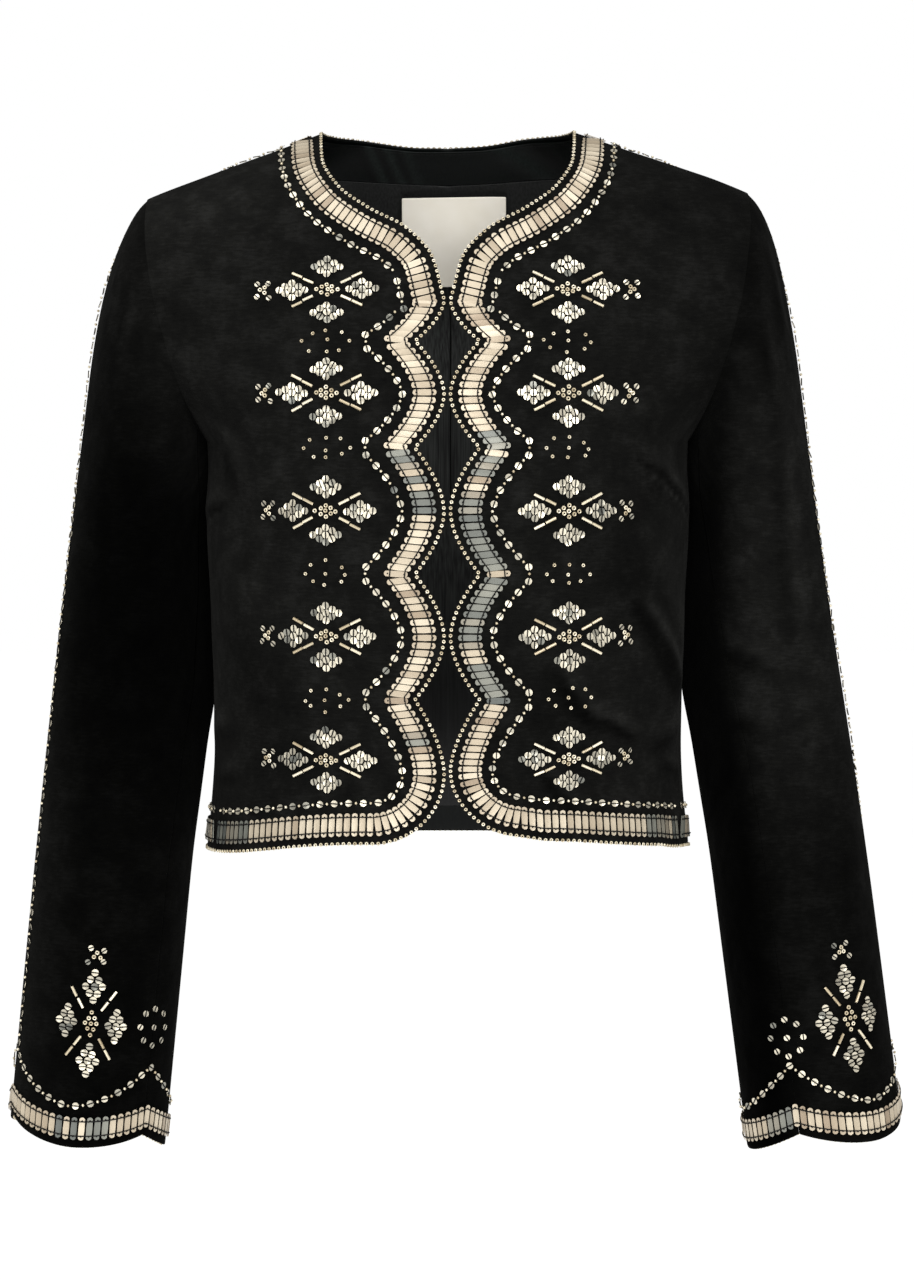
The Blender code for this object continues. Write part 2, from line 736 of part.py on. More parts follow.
def make_back_bands():
    shares = np.linspace(0, 1, 18)
    rows = []
    for distance in BAND_LINES:
        height = HEM_Z + distance
        end = side_seam(height) + BAND_END
        rows.append(np.stack([math.pi + (end - math.pi) * shares, np.full(18, height)], -1))
    grid = np.stack(rows)
    make_wall("plate_band_back_hem", "plate", *back_sheets(grid[..., 0], grid[..., 1], LIFT, TOP))
    turns = np.linspace(0, math.radians(84), 11)
    rows = []
    for distance in BAND_LINES:
        drop = distance * (0.86 - 0.50 * np.sin(turns) ** 2)
        rows.append(np.stack([math.pi - turns, back_neck(turns) - drop], -1))
    grid = np.stack(rows)
    make_wall("plate_band_back_neck", "plate", *back_sheets(grid[..., 0], grid[..., 1], LIFT, TOP))


def make_cuff_band(side):
    laps = np.linspace(-1, 2, 55)
    rows = []
    for distance in BAND_LINES:
        along = cuff_share(laps) - distance / -CUFF_Z
        rows.append(sleeve(sleeve_turn(laps, along, side), along, side))
    points = np.stack([row[0] for row in rows])
    normals = np.stack([row[1] for row in rows])
    make_wall(f"plate_band_cuff_{side}", "plate", (points + normals * TOP, points + normals * LIFT))


def main():
    for thing in list(bpy.data.objects):
        bpy.data.objects.remove(thing)
    make_back()
    make_facing_and_lining()
    make_label()
    make_back_bands()
    for side_name, (sign, *_) in SIDES.items():
        make_front(f"front_{side_name}", sign)
        make_sleeve(side_name)
        make_front_band(side_name, sign)
        make_cuff_band(side_name)


main()
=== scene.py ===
"""Looks of the cropped velvet jacket: pile cloth, satin inside, and sewn-on plates, sequins and beads.

Metres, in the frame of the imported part: +Z up, +X the wearer's left, -Y the front. The cloth follows
the same named sizes and tables as the part's solids, sampled finer, with creases added.
"""

import math

import bmesh
import bpy
import numpy as np
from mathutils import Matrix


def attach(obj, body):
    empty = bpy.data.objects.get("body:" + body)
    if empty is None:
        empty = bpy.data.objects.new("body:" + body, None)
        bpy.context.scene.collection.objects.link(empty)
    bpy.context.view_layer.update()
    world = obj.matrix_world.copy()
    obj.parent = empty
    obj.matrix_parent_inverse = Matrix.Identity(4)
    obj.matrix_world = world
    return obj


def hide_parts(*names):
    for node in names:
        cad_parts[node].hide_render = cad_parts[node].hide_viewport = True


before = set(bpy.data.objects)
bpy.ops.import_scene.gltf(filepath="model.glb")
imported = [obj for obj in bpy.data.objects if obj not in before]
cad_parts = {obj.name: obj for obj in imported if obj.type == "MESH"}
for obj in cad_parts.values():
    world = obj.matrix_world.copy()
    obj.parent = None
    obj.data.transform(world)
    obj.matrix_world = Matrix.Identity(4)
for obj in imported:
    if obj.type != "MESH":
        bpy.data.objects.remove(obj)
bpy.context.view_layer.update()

# Sizes of the cloth and its seams, as in the part's solids
CLOTH = 0.0016
LINING = 0.0010
LABEL = 0.0006
PLATE = 0.0006
SEAM_GAP = 0.0003
# Rounding draws the cloth edges back, so the seams lap by this much to stay closed
SEAM_LAP = 0.0012
SLEEVE_LAP = 0.0004
LAYER_GAP = 0.0007
LIFT = 0.0007
TOP = LIFT + PLATE

# Shoulder, neck and armhole
TIP_X = 0.193
NECK_X = 0.0806
NECK_Z = 0.041
BACK_NECK_Z = 0.036
UNDERARM_X = 0.1555
UNDERARM_Z = -0.160
ARMHOLE_BOW = 0.009
ARMHOLE_DEPTH = 0.068
SHOULDER_CURVE = 0.15
# Rows change from following the angle to even spacing over this much of the armhole
LEVEL_TURN = math.pi / 3

# Hem, front edge and scallops
HEM_Z = -0.424
FRONT_HEM_Z = -0.413
CORNER_RADIUS = 0.046
EDGE_X = 0.0012
SCALLOP_DEPTH = 0.018
SCALLOP_POWER = 1.75
NECK_TIP_Z = -0.072
CUSP_HEIGHTS = (-0.098, -0.164, -0.242, -0.320)
PLATE_TILT = 0.12
# The front edge eases into the neckline over this height, and its rows lie closer at the top
NECK_EASE = 0.05
NECK_ROW_POWER = 1.5

# How far the plate trim lies from an edge
BAND_NEAR = 0.0055
BAND_FAR = 0.0200
BAND_END = 0.004

# Level sections of the body: squarer than an ellipse by this share
SQUARENESS = 0.10
UNSQUARE_ROUNDS = 12
SIDE_SEAM_SWING = math.radians(22)
SIDE_SEAM_POWER = 2.2
# Columns: height, half width
WIDTH_ROWS = (
    (-0.430, 0.1567),
    (-0.355, 0.1512),
    (-0.265, 0.1533),
    (-0.205, 0.1562),
    (-0.178, 0.1548),
    (-0.160, 0.1555),
)
# Columns: height, half width
PAST_ARM_ROWS = (
    (-0.160, 0.1555),
    (-0.152, 0.1615),
    (-0.140, 0.1735),
    (-0.120, 0.1950),
    (-0.100, 0.2140),
    (-0.080, 0.2290),
    (-0.055, 0.2380),
    (-0.035, 0.2370),
    (-0.015, 0.2190),
    (-0.006, 0.2055),
    (0.000, 0.1930),
)
# Columns: height, front, back
REACH_ROWS = (
    (-0.430, 0.122, 0.106),
    (-0.355, 0.118, 0.097),
    (-0.265, 0.122, 0.100),
    (-0.190, 0.127, 0.108),
    (-0.130, 0.115, 0.109),
    (-0.066, 0.096, 0.100),
    (-0.030, 0.081, 0.090),
    (0.000, 0.064, 0.078),
    (0.020, 0.046, 0.067),
    (0.041, 0.024, 0.052),
)
# Columns: height, from centre
NECK_ROWS = (
    (-0.072, 0.0000),
    (-0.044, 0.0085),
    (-0.026, 0.0250),
    (-0.012, 0.0490),
    (0.004, 0.0690),
    (0.022, 0.0790),
    (0.041, 0.0806),
)

# Soft folds that stand out of the body cloth, on the wearer's left and right
# Columns: side, top angle, top height, end angle, end height, width, rise
FOLD_ROWS = (
    (1, 50, -0.215, 80, -0.325, 0.020, 0.0030),
    (1, 26, -0.250, 30, -0.400, 0.026, 0.0022),
    (-1, 62, -0.215, 40, -0.330, 0.026, 0.0022),
    (-1, 30, -0.300, 44, -0.400, 0.022, 0.0018),
    (1, 130, -0.120, 115, -0.300, 0.034, 0.0030),
    (-1, 128, -0.130, 112, -0.310, 0.034, 0.0030),
    (1, 160, -0.220, 150, -0.400, 0.030, 0.0022),
    (-1, 164, -0.240, 146, -0.400, 0.030, 0.0022),
)

# Finer creases of the body: a dart and drag lines at each side, and similar ones behind
BODY_RADIUS = 0.125
# Columns: side, top angle, top height, end angle, end height, width, rise
CREASE_ROWS = (
    (1, 88, -0.2190, 44, -0.1700, 0.0022, -0.0016),
    (1, 84, -0.2100, 44, -0.1640, 0.0070, 0.0022),
    (1, 66, -0.1450, 50, -0.2050, 0.0090, 0.0022),
    (1, 46, -0.2520, 78, -0.3300, 0.0070, 0.0046),
    (1, 78, -0.2500, 60, -0.3900, 0.0120, 0.0018),
    (1, 86, -0.3350, 52, -0.3520, 0.0070, 0.0019),
    (1, 80, -0.3720, 58, -0.3650, 0.0055, 0.0014),
    (1, 30, -0.3240, 52, -0.3480, 0.0050, 0.0018),
    (1, 22, -0.2900, 36, -0.3420, 0.0060, 0.0016),
    (1, 20, -0.3600, 30, -0.3960, 0.0045, 0.0015),
    (-1, 90, -0.2150, 58, -0.2010, 0.0022, -0.0016),
    (-1, 88, -0.2070, 56, -0.1950, 0.0070, 0.0018),
    (-1, 64, -0.1420, 52, -0.1950, 0.0090, 0.0022),
    (-1, 44, -0.2080, 54, -0.2450, 0.0060, 0.0017),
    (-1, 88, -0.3480, 56, -0.3380, 0.0080, 0.0018),
    (-1, 76, -0.3780, 54, -0.3660, 0.0060, 0.0013),
    (1, 152, -0.0500, 118, -0.1150, 0.0100, 0.0020),
    (-1, 148, -0.0600, 114, -0.1220, 0.0100, 0.0021),
    (1, 172, -0.3460, 132, -0.3360, 0.0090, 0.0022),
    (-1, 168, -0.3620, 128, -0.3480, 0.0090, 0.0022),
    (1, 126, -0.3250, 100, -0.3550, 0.0080, 0.0014),
    (-1, 130, -0.3100, 102, -0.3420, 0.0080, 0.0014),
)
# Columns: wave length, heading, phase
WAVE_ROWS = ((0.058, 0.3, 0.4), (0.043, 1.2, 2.1), (0.071, 2.0, 4.4), (0.034, 2.7, 1.3))
WAVE_RISE = 0.00030
# The waves start at this angle from the centre front, and all creases fade at the centre back
WAVE_START = 0.35
WAVE_FADE = 0.3
CENTRE_FADE = 0.12
FOLD_FADE_POWER = 1.3
CREASE_FADE_POWER = 1.2

# Sleeves: outer and inner lines seen from the front, and half depths
CUFF_Z = -0.606
CUFF_TILT = 0.013
CAP_SHARE = 0.55
CAP_POWER = 1.6
CUFF_FORWARD = 0.012
CUFF_SCALLOP = 0.0115
SWING_START = -0.28
# Heights over which one sleeve is slimmer along its outer line
SLIM_RUN = 0.08
SLIM_END = -0.12
SLIM_FADE = 0.35
# How far the inner side of a sleeve hangs behind the widest line of the body, and over which heights
INNER_BACK = 0.042
BACK_RUN = 0.045
BACK_END = -0.30
BACK_FADE = 0.14
# Shares of a sleeve's length over which it leaves the armhole's form and its seams turn
RIM_SHARE = 0.12
BOW_SHARE = 0.2
ROUND_SHARE = 0.4
SEAM_SHARE = 0.6
SEAM_ANGLE_TOP = math.radians(150)
SEAM_ANGLE_CUFF = math.radians(120)
UPPER_GAP = 0.0004
UNDER_GAP = 0.0008
# Columns: sign, twist degrees, swing, slimmer
SIDES = {"left": (1, -8, 0.016, 0.004), "right": (-1, 18, -0.016, 0.0)}
# Columns: height, from centre
OUTER_ROWS = (
    (-0.620, 0.2925),
    (-0.400, 0.2670),
    (-0.260, 0.2495),
    (-0.160, 0.2370),
    (-0.090, 0.2274),
    (-0.052, 0.2176),
    (-0.021, 0.2070),
    (-0.006, 0.1992),
    (0.000, 0.1930),
)
# Columns: height, from centre
INNER_ROWS = (
    (-0.640, 0.1925),
    (-0.500, 0.1765),
    (-0.426, 0.1680),
    (-0.392, 0.1635),
    (-0.356, 0.1590),
    (-0.315, 0.1533),
    (-0.270, 0.1525),
    (-0.220, 0.1550),
    (-0.190, 0.1556),
    (-0.160, 0.1555),
)
# Columns: height, half depth
DEPTH_ROWS = (
    (-0.640, 0.0430),
    (-0.420, 0.0480),
    (-0.250, 0.0570),
    (-0.120, 0.0660),
    (-0.080, 0.0680),
)

# Creases of the sleeves: a long ridge, elbow folds and the eased fullness of the sleeve head
SLEEVE_RADIUS = 0.055
SLEEVE_LENGTH = 0.62
# Columns: side, start turn, start along, end turn, end along, width, rise
SLEEVE_CREASE_ROWS = (
    ("left", 57, 0.16, 64, 0.52, 0.0085, 0.0026),
    ("left", 128, 0.44, 72, 0.50, 0.0080, 0.0016),
    ("left", 130, 0.53, 84, 0.56, 0.0070, 0.0012),
    ("left", 30, 0.62, 58, 0.90, 0.0110, 0.0012),
    ("left", -40, 0.30, -58, 0.55, 0.0110, 0.0016),
    ("left", -60, 0.48, -20, 0.55, 0.0090, 0.0012),
    ("right", 62, 0.22, 70, 0.46, 0.0100, 0.0016),
    ("right", 124, 0.40, 80, 0.47, 0.0080, 0.0014),
    ("right", 132, 0.55, 76, 0.60, 0.0080, 0.0013),
    ("right", 44, 0.55, 36, 0.84, 0.0110, 0.0012),
    ("right", -36, 0.26, -62, 0.50, 0.0110, 0.0016),
    ("right", -64, 0.52, -24, 0.58, 0.0090, 0.0012),
    ("left", 40, 0.01, 36, 0.17, 0.0060, 0.0016),
    ("left", 14, 0.01, 16, 0.15, 0.0060, 0.0016),
    ("left", -22, 0.01, -20, 0.14, 0.0060, 0.0016),
    ("right", 34, 0.01, 38, 0.15, 0.0060, 0.0016),
    ("right", 6, 0.01, 8, 0.14, 0.0060, 0.0016),
    ("right", -28, 0.01, -24, 0.15, 0.0060, 0.0016),
    ("left", 66, 0.02, 60, 0.22, 0.0070, 0.0018),
    ("right", 62, 0.02, 58, 0.20, 0.0070, 0.0018),
    ("left", 180, 0.0, 180, 0.14, 0.0120, 0.0010),
    ("right", 180, 0.0, 180, 0.14, 0.0120, 0.0010),
)

# Back neck facing, lining and label
FACING_DROP_Z = 0.0117
FACING_RISE = 0.0145
FACING_POWER = 1.5
FACING_END = math.radians(68)
LINING_ARM_END = math.radians(-40)
LINING_HEM = 0.018
LINING_SIDE = 0.80
LABEL_X = 0.004
LABEL_WIDTH = 0.070
LABEL_TOP_Z = 0.005
LABEL_HEIGHT = 0.060


def smooth(rows, at, column=1):
    """Monotone cubic through one column of a table whose first column rises."""
    knots = np.array([row[0] for row in rows])
    values = np.array([row[column] for row in rows])
    steps = np.diff(knots)
    slopes = np.diff(values) / steps
    tangents = np.empty_like(values)
    products = slopes[:-1] * slopes[1:]
    sums = np.where(products > 0, slopes[:-1] + slopes[1:], 1.0)
    tangents[1:-1] = np.where(products > 0, 2 * products / sums, 0.0)
    tangents[0] = slopes[0]
    tangents[-1] = slopes[-1]
    at = np.clip(np.asarray(at, float), knots[0], knots[-1])
    i = np.clip(np.searchsorted(knots, at) - 1, 0, len(steps) - 1)
    t = (at - knots[i]) / steps[i]
    rise = (1 + 2 * t) * (1 - t) ** 2 * values[i] + t * t * (3 - 2 * t) * values[i + 1]
    turn = t * (1 - t) ** 2 * tangents[i] - t * t * (1 - t) * tangents[i + 1]
    return rise + turn * steps[i]


def ease(t):
    t = np.clip(t, 0.0, 1.0)
    return t * t * (3 - 2 * t)


# How the jacket hangs, not quite even: rises across it at the shoulders, the back neck and the hem
# Columns: from centre, rise
SHOULDER_HANG = (
    (-0.110, -0.0040),
    (-0.080, -0.0026),
    (-0.030, 0.0000),
    (0.030, 0.0000),
    (0.080, -0.0018),
    (0.120, -0.0016),
    (0.170, 0.0000),
)
NECK_HANG = (
    (-0.090, 0.0000),
    (-0.063, 0.0010),
    (-0.020, -0.0030),
    (0.020, -0.0024),
    (0.058, 0.0020),
    (0.090, 0.0000),
)
HEM_HANG = (
    (-0.160, 0.0012),
    (-0.140, 0.0024),
    (-0.0001, 0.0024),
    (0.0001, 0.0074),
    (0.045, 0.0074),
    (0.060, 0.0048),
    (0.100, 0.0053),
    (0.135, 0.0068),
    (0.155, 0.0040),
)
SHOULDER_FADE = 0.10
NECK_FADE = 0.03
HEM_HANG_TOP = -0.335
HEM_HANG_FADE = 0.075
HANG_BACK = 0.02
HANG_BACK_FADE = 0.06
HANG_SIDE = 0.160
HANG_SIDE_FADE = 0.012


def settled(points):
    """Points moved up or down to where they hang."""
    points = np.array(points, float)
    x, y, z = points.T
    shoulder = np.interp(x, *zip(*SHOULDER_HANG)) * ease((z + SHOULDER_FADE) / SHOULDER_FADE)
    neck = smooth(NECK_HANG, x) * ease(z / NECK_FADE) * ease(y / HANG_BACK)
    hem = np.interp(x, *zip(*HEM_HANG)) * ease((HEM_HANG_TOP - z) / HEM_HANG_FADE)
    hem = hem * ease((HANG_BACK - y) / HANG_BACK_FADE) * (1 - ease((np.abs(x) - HANG_SIDE) / HANG_SIDE_FADE))
    points[:, 2] += shoulder + neck + hem
    return points


# Body: level sections from the hem to the neck. The angle runs from 0 at the centre front to pi


def squared(a, b):
    return a * (1 + SQUARENESS * b * b)


def unsquared(value):
    """The sine that squared() turns into this value."""
    value = np.clip(value, 0.0, 1.0)
    sine = value
    for _ in range(UNSQUARE_ROUNDS):
        sine = value / (1 + SQUARENESS * (1 - sine * sine))
    return np.clip(sine, 0.0, 1.0)


def body_reach(height, behind):
    return np.where(behind, smooth(REACH_ROWS, height, 2), smooth(REACH_ROWS, height, 1))


def body_half_width(height):
    """Half width of a section; between underarm and shoulder it runs on past the armhole."""
    share = height / NECK_Z
    shoulder = TIP_X + (NECK_X - TIP_X) * share * (1 - SHOULDER_CURVE * (1 - share))
    past_arm = np.where(height >= 0, shoulder, smooth(PAST_ARM_ROWS, height))
    return np.where(height > UNDERARM_Z, past_arm, smooth(WIDTH_ROWS, height))


def angle_at(x, height, behind):
    angle = np.arcsin(unsquared(x / body_half_width(height)))
    return np.where(behind, math.pi - angle, angle)


# Armhole: an oval through the shoulder tip (turn 0), the front (90), the underarm (180) and the back


def armhole(turn):
    """Points of the wearer's left armhole seam, cut from the body's form."""
    share = (1 + np.cos(turn)) / 2
    x = UNDERARM_X + (TIP_X - UNDERARM_X) * share + ARMHOLE_BOW * np.sin(turn) ** 2
    z = UNDERARM_Z * (1 - share)
    behind = np.sin(turn) < 0
    sine = unsquared(x / body_half_width(z))
    y = body_reach(z, behind) * squared(np.sqrt(1 - sine * sine), sine)
    return np.stack([x, np.where(behind, y, -y), z], -1)


def armhole_normal(turn):
    """Direction out of the armhole oval, which both walls share at the seam."""
    step = 0.02
    run = armhole(turn + step) - armhole(turn - step)
    out = np.stack([np.zeros_like(turn), run[..., 2], -run[..., 1]], -1)
    return out / np.linalg.norm(out, axis=-1, keepdims=True)


def fold_rise(angle, height, side):
    """How far the soft folds lift the cloth."""
    total = np.zeros_like(height)
    for fold_side, top_angle, top, end_angle, end, width, rise in FOLD_ROWS:
        along = (height - top) / (end - top)
        middle = np.radians(top_angle + (end_angle - top_angle) * along)
        across = (angle - middle) * smooth(REACH_ROWS, height) / width
        fade = np.sin(math.pi * np.clip(along, 0, 1)) ** FOLD_FADE_POWER
        total += rise * np.exp(-across * across) * fade * (fold_side == side)
    return total


def ridge(u, v, start, end, width, rise):
    """One soft ridge, or a trough where rise is negative, that fades towards both of its ends."""
    run_u = end[0] - start[0]
    run_v = end[1] - start[1]
    length = math.hypot(run_u, run_v)
    share = ((u - start[0]) * run_u + (v - start[1]) * run_v) / length**2
    off = ((u - start[0]) * run_v - (v - start[1]) * run_u) / length
    fade = np.sin(math.pi * np.clip(share, 0, 1)) ** CREASE_FADE_POWER
    return rise * np.exp(-((off / width) ** 2)) * fade


def unevenness(u, v):
    """The slight waviness of cloth that hangs free, never below the plain form."""
    wave = np.zeros_like(u)
    for long_wave, heading, phase in WAVE_ROWS:
        wave += np.sin((u * math.cos(heading) + v * math.sin(heading)) * 2 * math.pi / long_wave + phase)
    return WAVE_RISE * (1 + wave / len(WAVE_ROWS))


def body_creases(angle, height, side):
    u = angle * BODY_RADIUS
    total = unevenness(u + side, height) * ease((angle - WAVE_START) / WAVE_FADE)
    for crease_side, top_angle, top, end_angle, end, width, rise in CREASE_ROWS:
        start = (math.radians(top_angle) * BODY_RADIUS, top)
        finish = (math.radians(end_angle) * BODY_RADIUS, end)
        total += ridge(u, height, start, finish, width, rise) * (crease_side == side)
    return total * ease((math.pi - angle) / CENTRE_FADE)


def body_form(angle, height):
    behind = np.cos(angle) < 0
    x = body_half_width(height) * squared(np.sin(angle), np.cos(angle))
    y = -body_reach(height, behind) * squared(np.cos(angle), np.sin(angle))
    return np.stack([x, y, height], -1)


def body(angle, height, side, folded=True):
    """(points, outward normals) of the body cloth on one side."""
    step_angle = 1e-3
    step_height = 1e-4
    across = body_form(angle + step_angle, height) - body_form(angle - step_angle, height)
    up = body_form(angle, height + step_height) - body_form(angle, height - step_height)
    normals = np.cross(across, up)
    normals /= np.linalg.norm(normals, axis=-1, keepdims=True)
    points = body_form(angle, height)
    if folded:
        rise = fold_rise(angle, height, side) + body_creases(angle, height, side)
        points = points + normals * rise[..., None]
    flip = np.array([side, 1, 1])
    return points * flip, normals * flip


# Front edge, from the corner of the hem up to the shoulder seam


def scallop(share):
    """Distance from the centre front, where share runs from -1 to 1 between two cusps."""
    return EDGE_X + SCALLOP_DEPTH * np.abs(share) ** SCALLOP_POWER


def corner_edge(turns):
    """Rounded corner: (x, height, inward x, inward z, 0), turn 0 up the front and 90 along the hem."""
    x = EDGE_X + CORNER_RADIUS * (1 - np.cos(turns))
    z = FRONT_HEM_Z + CORNER_RADIUS * (1 - np.sin(turns))
    return np.stack([x, z, np.cos(turns), np.sin(turns), 0 * turns], -1)


def scalloped_edge(steps):
    """The wavy edge up from the corner to the neckline; the last column is 1 or -1 at its cusps."""
    tips = [FRONT_HEM_Z + CORNER_RADIUS, *CUSP_HEIGHTS[::-1], NECK_TIP_Z]
    rows = []
    for number in range(len(tips) - 1):
        low, high = tips[number], tips[number + 1]
        first = 0.0 if number == 0 else -1.0
        last = 0.0 if number == len(tips) - 2 else 1.0
        count = steps if first and last else steps // 2
        for share in np.linspace(first, last, count, endpoint=False):
            z = low + (high - low) * (share - first) / (last - first)
            lean = -PLATE_TILT * np.sign(share) * np.abs(share) ** (SCALLOP_POWER - 1)
            rows.append((float(scallop(share)), z, math.cos(lean), math.sin(lean), share))
    return np.array(rows)


def neck_edge(steps):
    """Neckline from its lowest point to the shoulder seam, with rows closer at the top."""
    z = NECK_Z - (NECK_Z - NECK_TIP_Z) * (1 - np.linspace(0, 1, steps + 1)) ** NECK_ROW_POWER
    x = EDGE_X * (z < NECK_Z) * (1 - ease((z - NECK_TIP_Z) / NECK_EASE)) + smooth(NECK_ROWS, z)
    slope = np.gradient(x, z)
    length = np.sqrt(1 + slope * slope)
    return np.stack([x, z, 1 / length, -slope / length, 0 * z], -1)


def side_seam(height):
    """Angle of the side seam, which swings forward towards the hem."""
    fall = np.clip((UNDERARM_Z - height) / (UNDERARM_Z - HEM_Z), 0, 1)
    return math.pi / 2 - SIDE_SEAM_SWING * fall**SIDE_SEAM_POWER


def hem_line(angle):
    """Height of the front's lower edge: the rounded corner, then the hem out to the side seam."""
    x = body_form(angle, np.full_like(angle, FRONT_HEM_Z))[..., 0]
    inside = np.clip(EDGE_X + CORNER_RADIUS - x, 0, CORNER_RADIUS)
    corner = CORNER_RADIUS - np.sqrt(CORNER_RADIUS**2 - inside**2)
    start = corner_end()
    fall = ease((angle - start) / (side_seam(HEM_Z) - start))
    return FRONT_HEM_Z + corner + (HEM_Z - FRONT_HEM_Z) * fall


def corner_end():
    """Angle at which the rounded corner runs into the hem."""
    return float(angle_at(EDGE_X + CORNER_RADIUS, np.float64(FRONT_HEM_Z), False))


def spread(inner, outer, columns, level):
    """Angles and heights of a grid between an inner and an outer line of (angle, height).

    level is 0 on rows that follow the angle and 1 on rows spaced evenly from the centre.
    """
    u = np.asarray(columns)[None, :]
    height = inner[:, 1:] + (outer[:, 1:] - inner[:, 1:]) * u
    angle = inner[:, :1] + (outer[:, :1] - inner[:, :1]) * u
    behind = inner[:, :1] > math.pi / 2
    x_in = body_form(inner[:, 0], inner[:, 1])[:, :1]
    x_out = body_form(outer[:, 0], outer[:, 1])[:, :1]
    even = angle_at(x_in + (x_out - x_in) * u, height, behind)
    even = np.where(u == 0, inner[:, :1], np.where(u == 1, outer[:, :1], even))
    return angle + (even - angle) * np.asarray(level)[:, None], height


def front_lines(scallop_steps, neck_steps, corner_steps):
    """The front edge up from the middle of its corner, and the side and armhole line beside it."""
    corner = corner_edge(np.linspace(math.pi / 4, 0, corner_steps, endpoint=False))
    edge = np.concatenate([corner, scalloped_edge(scallop_steps), neck_edge(neck_steps)])
    below = edge[:, 1] < CUSP_HEIGHTS[1] - 1e-6
    inner = np.stack([angle_at(edge[:, 0], edge[:, 1], False), edge[:, 1]], -1)
    inner[-1, 0] = math.pi / 2
    climb = np.interp(edge[:, 1], (edge[0, 1], CUSP_HEIGHTS[1]), (HEM_Z, UNDERARM_Z))
    outer = np.stack([side_seam(climb), climb], -1)
    count = int((~below).sum())
    turns = np.linspace(math.pi, 0, count)
    seam = armhole(turns)
    outer[~below, 1] = seam[:, 2]
    outer[~below, 0] = angle_at(seam[:, 0], seam[:, 2], False)
    outer[~below, 0][[0, -1]] = math.pi / 2
    return edge, inner, outer, below, turns


def front_grid(columns, scallop_steps, neck_steps, corner_steps):
    edge, inner, outer, below, turns = front_lines(scallop_steps, neck_steps, corner_steps)
    level = np.zeros(len(inner))
    level[~below] = ease((math.pi - turns) / LEVEL_TURN)
    level[-1] = 0
    angle, height = spread(inner, outer, columns, level)
    # The lowest rows sink to the rounded corner and the hem.
    hem = hem_line(angle[0])
    rise = (height[:, :1] - edge[0, 1]) / CORNER_RADIUS
    height = height + (hem - height[0])[None, :] * np.clip(1 - rise, 0, 1) ** 2
    return angle, height, below, turns


def rim_normals(normals, below, turns, side):
    """Gives the last column the direction that it shares with the sleeve along the armhole."""
    normals[~below, -1] = armhole_normal(turns) * np.array([side, 1, 1])
    return normals


def back_lines(neck_height, neck_end, arm_end, hem_height, rows, neck_rows):
    """Centre back up to a neck line, then along it, and the side and armhole line beside it."""
    centre = np.stack([np.full(rows, math.pi), np.linspace(hem_height, neck_height(0.0), rows)], -1)
    turns = np.linspace(0, neck_end, neck_rows + 1)[1:]
    neck = np.stack([math.pi - turns, neck_height(turns)], -1)
    inner = np.concatenate([centre, neck])
    below_rows = int(round((UNDERARM_Z - hem_height) / (neck_height(0.0) - hem_height) * (rows - 1)))
    side = np.linspace(hem_height, UNDERARM_Z, below_rows, endpoint=False)
    arm_turns = np.linspace(-math.pi, arm_end, len(inner) - below_rows)
    seam = armhole(arm_turns)
    arm_angle = angle_at(seam[:, 0], seam[:, 2], True)
    arm_angle[0] = math.pi / 2
    outer = np.concatenate([np.stack([side_seam(side), side], -1), np.stack([arm_angle, seam[:, 2]], -1)])
    below = np.arange(len(inner)) < below_rows
    level = np.zeros(len(inner))
    level[~below] = ease((math.pi + arm_turns) / LEVEL_TURN) * (arm_turns < 0)
    return inner, outer, level, below, arm_turns


def back_neck(turn):
    return BACK_NECK_Z + (NECK_Z - BACK_NECK_Z) * np.sin(turn) ** 2


def facing_line(turn):
    return FACING_DROP_Z + FACING_RISE * np.sin(turn) ** FACING_POWER


# Sleeves: tilted rings from the armhole to the cuff. The turn runs as on the armhole


def sleeve_form(turn, along, side):
    """Points of a sleeve in the wearer's left frame; along is 0 at the armhole and 1 at the cuff."""
    swing, slimmer = SIDES[side][2:]
    tilt = CUFF_TILT + (-UNDERARM_Z - CUFF_TILT) * np.clip(1 - along / CAP_SHARE, 0, 1) ** CAP_POWER
    outer_z = CUFF_Z * along
    inner_z = outer_z - tilt
    slim = ease(-outer_z / SLIM_RUN) * (1 - ease((SLIM_END - outer_z) / SLIM_FADE))
    outer_x = smooth(OUTER_ROWS, outer_z) - slimmer * slim
    inner_x = smooth(INNER_ROWS, inner_z)
    middle_z = (outer_z + inner_z) / 2
    share = (1 + np.cos(turn)) / 2
    x = inner_x + (outer_x - inner_x) * share
    z = inner_z + (outer_z - inner_z) * share
    x = x + swing * np.clip(SWING_START - z, 0, None)
    x = x + ARMHOLE_BOW * np.sin(turn) ** 2 * np.clip(1 - along / BOW_SHARE, 0, 1) ** 2
    oval = armhole(turn)[..., 1] / -ARMHOLE_DEPTH
    oval = oval + (np.sin(turn) - oval) * ease(along / ROUND_SHARE)
    y = -smooth(DEPTH_ROWS, middle_z) * oval - CUFF_FORWARD * ease(along)
    set_back = ease((UNDERARM_Z - z) / BACK_RUN) * (1 - ease((BACK_END - z) / BACK_FADE))
    y = y + INNER_BACK * (1 - share) * set_back
    return np.stack([x - SLEEVE_LAP, y, z], -1)


def sleeve_creases(turn, along, side):
    turn = (turn + math.pi / 2) % (2 * math.pi) - math.pi / 2
    u = turn * SLEEVE_RADIUS
    v = along * SLEEVE_LENGTH
    total = np.zeros_like(u)
    for crease_side, start_turn, start, end_turn, end, width, rise in SLEEVE_CREASE_ROWS:
        first = (math.radians(start_turn) * SLEEVE_RADIUS, start * SLEEVE_LENGTH)
        last = (math.radians(end_turn) * SLEEVE_RADIUS, end * SLEEVE_LENGTH)
        total += ridge(u, v, first, last, width, rise) * (crease_side == side)
    return total


